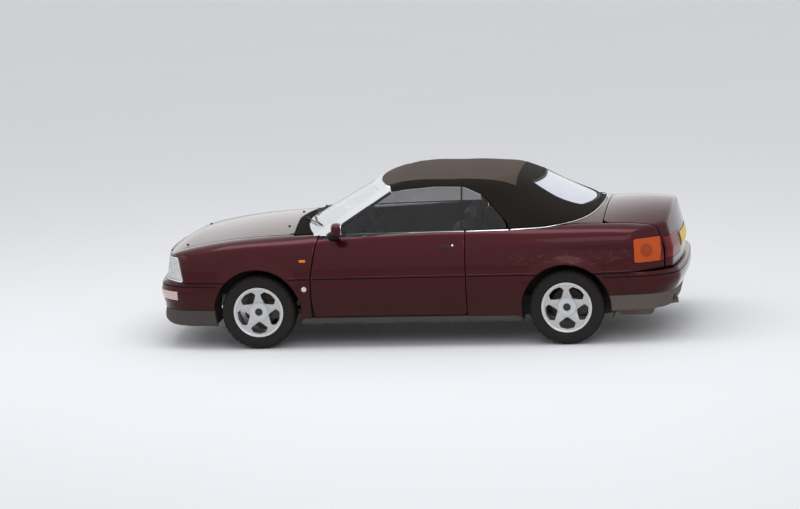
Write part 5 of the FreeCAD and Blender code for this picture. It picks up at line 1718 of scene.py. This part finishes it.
BRAKE_SECTION = (
    (0.138, -0.038), (0.138, -0.058), (0.066, -0.058), (0.066, 0.020), (0.0215, 0.020),
    (0.0215, 0.0375), (0.076, 0.0375), (0.076, -0.038),
)
CAP_SECTION = (
    (0.0005, 0.0665), (0.0320, 0.0665), (0.0340, 0.0725), (0.050, 0.0765), (0.066, 0.0765),
    (0.0745, 0.0740), (0.0780, 0.0680), (0.0780, 0.0600), (0.0005, 0.0600),
)
CENTRE_SECTION = ((0.0005, 0.0715), (0.022, 0.0715), (0.0300, 0.0695), (0.0312, 0.0620), (0.0005, 0.0620))


class CONVERTIBLE_OT_wheels(bpy.types.Operator):
    """Builds the tyres, the five-spoke wheels, the brake discs and the hub caps"""

    bl_idname = "convertible.wheels"
    bl_label = "Wheels"

    def execute(self, context):
        self.finishes()
        tyre = self.tyre()
        wheel = self.wheel()
        for name, x, side in (("front_left", FRONT_AXLE, 1), ("front_right", FRONT_AXLE, -1),
                              ("rear_left", REAR_AXLE, 1), ("rear_right", REAR_AXLE, -1)):
            place = Matrix.Translation((x, side * WHEEL_PLANE, AXLE_HEIGHT))
            if side == -1:
                place = place @ FLIP
            piece("tyre_tread_" + name, "wheel_" + name, moved(tyre, place), [self.rubber, self.tread],
                  ["tyre_" + name])
            piece("wheel_disc_" + name, "wheel_" + name, moved(wheel, place),
                  [self.silver, self.rim, self.iron, self.cap, self.dark], ["rim_" + name])
        return {"FINISHED"}

    def finishes(self):
        self.rubber = self.worn_rubber("tyre_wall", 0.012, 0.62)
        self.tread = self.worn_rubber("tyre_tread_rubber", 0.010, 0.75)
        self.silver = self.lacquered("wheel_silver_lacquer", (0.52, 0.525, 0.53))
        self.rim = self.lacquered("wheel_rim_lacquer", (0.66, 0.665, 0.675))
        self.iron = weathered("brake_iron", (30, 4, 0.7), 1.0, (0.075, 0.066, 0.060), (0.055, 0.028, 0.018),
                              (0.35, 0.75), (0.9, 0.3))
        self.cap = plastic("hub_cap_grey", (0.50, 0.505, 0.515), 0.4, 500, 0.05, 0.3)
        self.dark = plastic("hub_cap_centre", (0.025, 0.025, 0.027), 0.35)

    def worn_rubber(self, name, shade, rough):
        clean = (shade, shade * 0.92, shade * 0.88)
        return weathered(name, (14, 4, 0.65), 0.30, clean, (0.050, 0.040, 0.033), (rough, rough + 0.2),
                         grain=((260, 2, 0.6), 0.15, 0.0005), Specular_IOR_Level=0.15)

    def lacquered(self, name, colour):
        return weathered(name, (26, 4, 0.65), 0.30, colour, (0.22, 0.19, 0.165), (0.28, 0.5), (0.75, 0.35),
                         ((500, 2, 0.5), 0.04, 0.0003), Coat_Weight=0.5, Coat_Roughness=0.1)

    def tyre(self):
        """the tyre, with cross grooves cut in its tread by turn"""
        section = [*TYRE_HALF, *((r, -y) for r, y in reversed(TYRE_HALF)), *TYRE_INSIDE]
        steps = 280
        period = 7

        def push(radius, side, turns):
            index = np.round(turns / (2 * math.pi) * steps).astype(int)
            lug, other = (np.isin((index + ahead) % period, (0, 1)) for ahead in (0, 3))
            away = np.abs(side)
            shoulder = (away > 0.060) & (away < 0.093) & (radius > 0.294)
            middle = (away < 0.022) & (radius > 0.305)
            between = (away > 0.026) & (away < 0.055) & (radius > 0.305)
            radius = radius - 0.0055 * (lug & shoulder) - 0.004 * (other & between) - 0.0035 * (lug & middle)
            return radius, side

        kinds = [1 if r > 0.297 and abs(y) < 0.095 else 0 for r, y in section]
        return lathe(section, steps, kinds, push)

    def wheel(self):
        """the spoked face on its barrel, with the brake disc, the hub cap and its centre"""
        ring = circle_run((0, 0), 0.186, 0, 360, 181)[:-1]
        bore = circle_run((0, 0), 0.032, 0, 360, 49)[:-1]
        loops = [[(x, 0.0, z) for x, z in loop] for loop in [ring, bore] + wheel_windows()]
        face = panel(WheelFace(), Straight((0.0, 1.0, 0.0), 0.0), loops, 0.026, (0.0055, 0.0055), 0.0035)
        turned = [lathe(section, steps) for section, steps in (
            (RIM_SECTION, 144), (BRAKE_SECTION, 96), (CAP_SECTION, 96), (CENTRE_SECTION, 60))]
        return merged(*(marked(part, kind) for kind, part in enumerate((face, *turned))))


# Glass, frame and mirrors.
MIRROR_SHELL = (
    # x, y, z, half depth, half height
    (0.617, 0.806, 1.000, 0.020, 0.028), (0.616, 0.812, 1.001, 0.032, 0.042),
    (0.614, 0.830, 1.002, 0.042, 0.051), (0.608, 0.870, 1.002, 0.046, 0.054),
    (0.602, 0.910, 1.001, 0.045, 0.052), (0.598, 0.938, 1.000, 0.036, 0.044),
    (0.596, 0.950, 0.999, 0.020, 0.030),
)
MIRROR_FOOT = (
    (0.655, 0.760, 0.922, 0.052, 0.030), (0.642, 0.786, 0.945, 0.042, 0.026),
    (0.624, 0.815, 0.972, 0.026, 0.022), (0.616, 0.835, 0.985, 0.018, 0.018),
)


def window_glass(name, tint, clear=0.85, coat=0.0, gloss=0.3):
    """thin tinted glass with a little dust; the windscreen's pale blue tint is painted sky reflection, and
    the rear window's is partly its milky plastic and partly painted sky reflection
    """
    f = Finish(name)
    dust = f.noise(9, 4, 0.6)
    return f.surface(
        Base_Color=f.mix(dust * 0.06, tint, (0.55, 0.52, 0.48)),
        Roughness=f.between(dust, 0.02, 0.06),
        Alpha=f.between(dust, 1 - clear - 0.03, 1 - clear + 0.05),
        IOR=1.5, Specular_IOR_Level=gloss, Coat_Weight=f.between(dust, coat, coat * 0.9), Coat_Roughness=0.02,
    )


def give(node, finish):
    """puts a finish on a CAD node that stays"""
    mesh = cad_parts[node].data
    mesh.materials.clear()
    mesh.materials.append(finish)


class CONVERTIBLE_OT_glass(bpy.types.Operator):
    """Finishes the glass and the windscreen frame, and builds the mirrors"""

    bl_idname = "convertible.glass"
    bl_label = "Glass and mirrors"

    def execute(self, context):
        side = window_glass("side_glass", (0.030, 0.031, 0.033), 0.70)
        for node in ("door_glass_left", "door_glass_right", "quarter_glasses"):
            give(node, side)
        # painted sky reflection: the windscreen's pale blue-white colour
        give("windscreen", window_glass("screen_glass_sky_painted", (0.72, 0.75, 0.78), 0.34, 1.0, 0.5))
        # the rear window's pale blue: partly milky plastic, partly painted sky reflection
        give("rear_window", window_glass("rear_screen_milky_and_sky_painted", (0.62, 0.63, 0.71), 0.10, 0.6, 0.5))
        give("windscreen_frame", bright("frame_silver", (0.70, 0.71, 0.73), 0.22))
        self.mirrors()
        return {"FINISHED"}

    def mirrors(self):
        coat = lacquer("mirror_lacquer", tuple(paint().body), 0.1)
        black = plastic("mirror_black", (0.018, 0.018, 0.018), 0.45)
        glass = bright("mirror_glass", (0.80, 0.82, 0.84), 0.03)
        shell, foot = (
            lofted([oval((x, y, z), (deep, 0, 0), (0, 0, high), 3.0, count) for x, y, z, deep, high in rings])
            for rings, count in ((MIRROR_SHELL, 36), (MIRROR_FOOT, 28)))
        pane = lofted([oval((0.5645, 0.878, 1.001), (0, 0.056, 0), (0, 0, 0.043), 3.4, 36),
                       oval((0.5600, 0.878, 1.001), (0, 0.055, 0), (0, 0, 0.042), 3.4, 36)])
        data = merged(shell, marked(foot, 1), marked(pane, 2))
        on_doors("mirror_shell", data, [coat, black, glass], "mirror_")


# Cabin.
SEAM_HALF_WIDTH = 0.007
SEAM_DEPTH = 0.009


def cushion(centre, half, tilt=0.0, seams=(), cross=(), crown=0.0, steps=(84, 44), edge=0.34):
    """a crowned closed pad with sewn channels; half sizes along its own axes, tilted about the car's width"""
    def bent(t):
        return math.copysign(abs(t) ** edge, t)

    a, b, h = half
    rows = []
    for v in np.radians(np.linspace(-90, 90, steps[1])[1:-1]):
        cv, sv = bent(math.cos(v)), bent(math.sin(v))
        face = max(0.0, sv)
        ring = []
        for u in np.linspace(0, 2 * math.pi, steps[0], endpoint=False):
            x, y = a * cv * bent(math.cos(u)), b * cv * bent(math.sin(u))
            pinch = sum(math.exp(-((y - s) / SEAM_HALF_WIDTH) ** 2) for s in seams)
            pinch += sum(math.exp(-((x - s) / SEAM_HALF_WIDTH) ** 2) for s in cross)
            rise = crown * (1 - (x / a) ** 2) * (1 - (y / b) ** 2) - SEAM_DEPTH * min(pinch, 1.0)
            side = 1 - 0.03 * (1 - sv * sv) * (math.cos(2 * u) ** 2)
            ring.append((x * side, y * side, h * sv + rise * face))
        rows.append(ring)
    place = Matrix.Translation(centre) @ Matrix.Rotation(tilt, 4, "Y")
    return moved(lofted(rows), place)


def leather(name, colour):
    """grained leather, creased and paler in patches"""
    f = Finish(name)
    grain = f.node("ShaderNodeTexVoronoi", {"feature": "F1"}, Vector=f.place(), Scale=420.0)
    crease = f.noise(16, 5, 0.7)
    return f.surface(
        Base_Color=f.mix(f.between(crease, 0.0, 0.5), colour, tinted(colour, 1.7, 0.01)),
        Roughness=f.between(crease, 0.38, 0.62),
        Normal=f.bump(grain + crease * 0.6, 0.3, 0.0008),
    )


class CONVERTIBLE_OT_cabin(bpy.types.Operator):
    """Builds the seats and finishes the dashboard, steering wheel and cabin"""

    bl_idname = "convertible.cabin"
    bl_label = "Cabin"

    def execute(self, context):
        self.hide = leather("seat_leather_grey", (0.085, 0.080, 0.075))
        self.front_seats()
        self.rear_seat()
        give("dashboard", plastic("dash_plastic", (0.028, 0.028, 0.030), 0.6, 380, 0.3))
        give("steering_wheel", leather("wheel_leather", (0.02, 0.02, 0.02)))
        self.dials()
        return {"FINISHED"}

    def front_seats(self):
        parts = []
        metal = plastic("seat_rail_black", (0.03, 0.03, 0.03), 0.4)
        for side, name in ((1, "left"), (-1, "right")):
            y = side * 0.375
            seat = merged(
                cushion((-0.065, y, 0.392), (0.200, 0.225, 0.058), -0.06, (-0.13, 0.13),
                        (-0.07, 0.06), 0.018),
                cushion((-0.392, y, 0.690), (0.270, 0.222, 0.050), math.radians(-77), (-0.13, 0.13),
                        (-0.10, 0.02, 0.14), 0.012),
            )
            pad = piece("seat_pads_" + name, "root", seat, [self.hide], ["front_seats"], 60)
            head = cushion((-0.478, y, 1.063), (0.062, 0.125, 0.036), math.radians(-82), crown=0.006,
                           steps=(60, 34))
            rest = piece("headrest_" + name, "root", head, [self.hide], (), 60)
            for middle in (y - 0.18, y + 0.18):
                parts.append(block((-0.325, middle - 0.008, 0.226), (0.095, middle + 0.008, 0.304)))
            for across in (-0.06, 0.06):
                line = [(-0.474, y + across, 0.945), (-0.476, y + across, 1.000), (-0.478, y + across, 1.035)]
                parts.append(sweep(line, (0, 1, 0), tube_section(0.006)))
        piece("seat_rails", "root", merged(*parts), [metal], ["front_seats"])

    def rear_seat(self):
        seat = merged(
            cushion((-0.815, 0, 0.415), (0.185, 0.478, 0.052), 0.04, (-0.16, 0.16),
                    (0.05,), 0.016, (110, 40)),
            cushion((-1.085, 0, 0.680), (0.235, 0.478, 0.045), math.radians(-84), (-0.16, 0.16),
                    (-0.08, 0.08), 0.010, (110, 40)),
        )
        pad = piece("rear_bench", "root", seat, [self.hide], ["rear_seat"], 60)

    def dials(self):
        """two plain dials in front of the driver"""
        black = plastic("dial_black", (0.012, 0.012, 0.013), 0.3)
        pale = plastic("dial_mark", (0.60, 0.60, 0.58), 0.5)
        parts = []
        dial = lathe([(0.0005, 0.004), (0.040, 0.004), (0.044, 0.007), (0.047, 0.004), (0.047, 0.0),
                      (0.0005, 0.0)], 48)
        height = 0.800
        for y in (-0.435, -0.315):
            place = Matrix.Translation((0.622, y, height)) @ Matrix.Rotation(math.radians(90), 4, "Z")
            parts.append(moved(dial, place))
            for angle in np.radians(np.linspace(-130, 130, 9)):
                across, up = y + math.sin(angle) * 0.034, height + math.cos(angle) * 0.034
                tick = block((0.614, across - 0.001, up - 0.001), (0.6185, across + 0.001, up + 0.002))
                parts.append(marked(tick, 1))
        piece("instrument_dials", "root", merged(*parts), [black, pale])


# Outer trim.
GLASS_LEAN = 0.4444
GLASS_FOOT = (0.750, 0.930)


class CONVERTIBLE_OT_trim(bpy.types.Operator):
    """Adds the bright strips, seals, handles, small lamps, wipers, grille frame and blank plates"""

    bl_idname = "convertible.trim"
    bl_label = "Outer trim"

    def execute(self, context):
        self.chrome = bright("trim_chrome", (0.80, 0.81, 0.83), 0.10)
        self.black = plastic("trim_black", (0.014, 0.014, 0.015), 0.5)
        give("scuttle", plastic("cowl_black", (0.006, 0.006, 0.006), 0.85, 300, 0.3, gloss=0.04))
        give("grille", plastic("grille_gloss_black", (0.014, 0.014, 0.015), 0.25, 300, 0.05))
        self.waist()
        self.pillars()
        self.glass_seals()
        self.grille_frame()
        self.handles()
        self.small_lamps()
        self.wipers()
        self.plates()
        self.washers()
        return {"FINISHED"}

    def waist(self):
        """the bright strip along the waist, on the doors and round the foot of the soft top"""
        line = self.waist_line(np.linspace(0.770, -0.428, 60))
        seal = sweep(line + (0, -0.012, 0.003), (0, 0.3, 1), strap(0.012, 0.007))
        data = merged(strip(OUTER, line, strap(0.010, 0.004)), marked(seal, 1))
        on_doors("waist_strip", data, [self.chrome, self.black])
        rear = self.waist_line(np.linspace(-0.446, -0.795, 26))
        foot = on_deck(roof_foot(Roof(inset=-0.010), 67.5, 170)[:, :2])
        data = merged(both(strip(OUTER, rear, strap(0.010, 0.004))), strip(OUTER, foot, strap(0.012, 0.005)))
        piece("hood_foot_strip", "root", data, [self.chrome])

    def waist_line(self, xs):
        """the left shoulder's inner edge, where the doors' skins turn in"""
        return on_deck(np.stack([xs, np.interp(xs, (-1.0, -0.44, 0.80), (0.758, 0.756, 0.722))], 1))

    def pillars(self):
        """the black divider between the door glass and the quarter glass"""
        line = [(-0.402, 0.745 - (z - 0.945) * GLASS_LEAN, z) for z in np.linspace(0.955, 1.285, 24)]
        post = sweep(line, (0, 1, 0.44), strap(0.014, 0.006, 0.006))
        piece("glass_divider", "root", both(post), [self.black])

    def glass_seals(self):
        """the black rubber along the door glasses' front edges"""
        z = np.linspace(0.955, 1.252, 30)
        y = GLASS_FOOT[0] - GLASS_LEAN * (z - GLASS_FOOT[1])
        line = np.stack([screen_x(y, z) - 0.106, y, z], 1)
        seal = sweep(line, (0, 1, 0.44), strap(0.022, 0.005, 0.005))
        on_doors("glass_seal", seal, [self.black])

    def grille_frame(self):
        corners = [(-0.318, 0.757, 0.012), (-0.277, 0.594, 0.02), (0.277, 0.594, 0.02), (0.318, 0.757, 0.012)]
        frame_strip = strip(OUTER, patch(corners, on_end, 6, way=1), strap(0.011, 0.005), closed=True)
        piece("grille_surround", "bonnet", frame_strip, [self.chrome])

    def handles(self):
        body = lacquer("handle_lacquer", tuple(paint().body), 0.1)
        over, under = Body(inset=-0.006), Body(inset=-0.0012)
        plate = [(-0.213, 0.812, 0.01), (-0.313, 0.812, 0.01), (-0.309, 0.840, 0.01), (-0.217, 0.840, 0.01)]
        loop = patch(plate, on_side, 6, 0.006, form_=over)
        flap = panel(over, FLANK, [loop], 0.007, (0.008, 0.006), 0.0025)
        cup = [(-0.208, 0.799, 0.012), (-0.318, 0.799, 0.012), (-0.314, 0.846, 0.012), (-0.212, 0.846, 0.012)]
        loop = patch(cup, on_side, 6, 0.006, form_=under)
        recess = panel(under, FLANK, [loop], 0.002, (0.010, 0.008), 0.0005)
        lock = self.disc(on_side([(-0.336, 0.843)]), 0.009, 0.003)
        data = merged(marked(flap, 0), marked(recess, 1), marked(lock, 2))
        on_doors("door_handle", data, [body, self.black, self.chrome])

    def disc(self, spot, radius, height):
        """a small round button that stands on the body at a place"""
        turn = Vector((0, 1, 0)).rotation_difference(Vector(normals_on(OUTER, spot)[0])).to_matrix().to_4x4()
        shape = lathe([(0.0002, height), (radius * 0.6, height * 0.95), (radius * 0.9, height * 0.6),
                       (radius, 0.0), (radius, -0.002), (0.0002, -0.002)], 28)
        return moved(shape, Matrix.Translation(Vector(spot[0])) @ turn)

    def small_lamps(self):
        """the side indicators and the round cover on the left wing"""
        amber = lens("indicator_amber", (0.85, 0.22, 0.008), 0.1, ribs=0.3)
        over = Body(inset=-0.004)
        loop = patch(rectangle((0.884, 0.727), (0.938, 0.748), 0.005), on_side, 5, 0.005, form_=over)
        lamp = panel(over, FLANK, [loop], 0.005, (0.006, 0.005), 0.002)
        piece("side_indicators", "root", both(lamp), [amber])
        pale = plastic("jack_cover_pale", (0.62, 0.58, 0.55), 0.5)
        piece("wing_button", "root", self.disc(on_side([(0.905, 0.503)]), 0.022, 0.006), [pale])

    def wipers(self):
        parts = []
        for y, reach in ((0.10, 0.52), (-0.45, 0.50)):
            pivot = Vector((screen_x(y, 0.955) + 0.012, y, 0.968))
            tip_y = min(y + reach, 0.60)
            high = 0.992
            tip = Vector((screen_x(tip_y, high) + 0.020, tip_y, high))
            line = [pivot.lerp(tip, t) + Vector((0.010, 0, 0.012)) * math.sin(t * math.pi)
                    for t in np.linspace(0, 0.75, 16)]
            parts.append(sweep([tuple(v) for v in line], (0.5, 0, 1), tube_section(0.0055, 8)))
            blade = [(screen_x(v, 0.995) + 0.010, v, 0.995) for v in np.linspace(y + reach * 0.15, tip_y, 20)]
            rubber = [(-0.004, -0.006), (-0.005, 0.006), (0.005, 0.006), (0.004, -0.006)]
            parts.append(sweep(blade, (0.5, 0, 1), rubber))
            cap = lathe([(0.0002, 0.016), (0.012, 0.014), (0.015, 0.0), (0.015, -0.01), (0.0002, -0.01)], 24)
            parts.append(moved(cap, Matrix.Translation(pivot) @ Matrix.Rotation(math.radians(90), 4, "X")))
        piece("wipers", "root", merged(*parts), [self.black])

    def plates(self):
        yellow = plastic("rear_plate_yellow", (0.72, 0.50, 0.03), 0.35, 400, 0.03, 0.1)
        white = plastic("front_plate_white", (0.74, 0.74, 0.72), 0.35, 400, 0.03, 0.1)
        behind, ahead = Body(inset=-0.005), Cover(FRONT_LEVELS, 1, inset=-0.005)
        for name, body, face, form_, skin, way, low, high in (
            ("rear_plate_blank", "boot_lid", yellow, behind, LID_FAN, -1, 0.708, 0.820),
            ("front_plate_blank", "root", white, ahead, Round(1), 1, 0.438, 0.520),
        ):
            loop = patch(rectangle((-0.26, low), (0.26, high), 0.008), on_end, 5, way=way, form_=form_)
            data = panel(form_, skin, [loop], 0.006, (0.02, 0.02), 0.0015)
            piece(name, body, data, [face, self.black, self.black])

    def washers(self):
        """four small nozzles and buffers on the bonnet"""
        spots = ((1.09, 0.35), (1.09, -0.35), (1.93, 0.50), (1.93, -0.50))
        parts = [self.disc(on_deck([spot]), 0.011, 0.009) for spot in spots]
        piece("bonnet_nozzles", "bonnet", merged(*parts), [self.black])


# What stays of the CAD model.
class CONVERTIBLE_OT_underside(bpy.types.Operator):
    """Finishes the floor, engine, axles, tank and exhaust"""

    bl_idname = "convertible.underside"
    bl_label = "Underside"

    def execute(self, context):
        mud = (0.085, 0.070, 0.058)
        sealed = weathered("underbody_sealed", (6, 5, 0.7), 0.6, (0.020, 0.016, 0.016), mud, (0.6, 0.95),
                           grain=((90, 4, 0.6), 0.4, 0.002))
        give("floor_pan", sealed)
        give("engine_block", self.iron("engine_cast", (0.34, 0.34, 0.34), 0.5))
        for node in ("front_subframe", "rear_axle", "fuel_tank"):
            give(node, self.iron("chassis_black_" + node, (0.05, 0.048, 0.045), 0.1))
        for node in ("knuckle_left", "knuckle_right"):
            give(node, self.iron("knuckle_iron_" + node, (0.10, 0.09, 0.085), 0.6))
        give("exhaust", self.iron("exhaust_stained", (0.17, 0.14, 0.12), 0.7))
        return {"FINISHED"}

    def iron(self, name, colour, metallic):
        """cast, painted or welded metal with rust"""
        return weathered(name, (11, 5, 0.7), 0.7, colour, (0.12, 0.062, 0.038), (0.42, 0.85),
                         (metallic, metallic * 0.3), ((160, 4, 0.6), 0.3, 0.001))


# The sidebar and the run.
STAGES = (
    CONVERTIBLE_OT_stage,
    CONVERTIBLE_OT_panels,
    CONVERTIBLE_OT_bumpers,
    CONVERTIBLE_OT_lamps,
    CONVERTIBLE_OT_soft_top,
    CONVERTIBLE_OT_wheels,
    CONVERTIBLE_OT_glass,
    CONVERTIBLE_OT_cabin,
    CONVERTIBLE_OT_trim,
    CONVERTIBLE_OT_underside,
)


class CONVERTIBLE_PT_sidebar(bpy.types.Panel):
    """Lists the steps that dress the car"""

    bl_idname = "CONVERTIBLE_PT_sidebar"
    bl_label = "Convertible car"
    bl_space_type = "VIEW_3D"
    bl_region_type = "UI"
    bl_category = "Convertible"

    def draw(self, context):
        for group in (context.scene.convertible_paint, context.scene.convertible_form):
            for key in group.__annotations__:
                self.layout.prop(group, key)
        for stage in STAGES:
            self.layout.operator(stage.bl_idname)


CLASSES = (ConvertiblePaint, ConvertibleForm, *STAGES, CONVERTIBLE_PT_sidebar)


def register():
    for kind in CLASSES:
        bpy.utils.register_class(kind)
    bpy.types.Scene.convertible_paint = bpy.props.PointerProperty(type=ConvertiblePaint)
    bpy.types.Scene.convertible_form = bpy.props.PointerProperty(type=ConvertibleForm)


def unregister():
    del bpy.types.Scene.convertible_form
    del bpy.types.Scene.convertible_paint
    for kind in reversed(CLASSES):
        bpy.utils.unregister_class(kind)


def main():
    register()
    for stage in STAGES:
        group, step = stage.bl_idname.split(".")
        getattr(getattr(bpy.ops, group), step)()


if __name__ == "__main__":
    main()
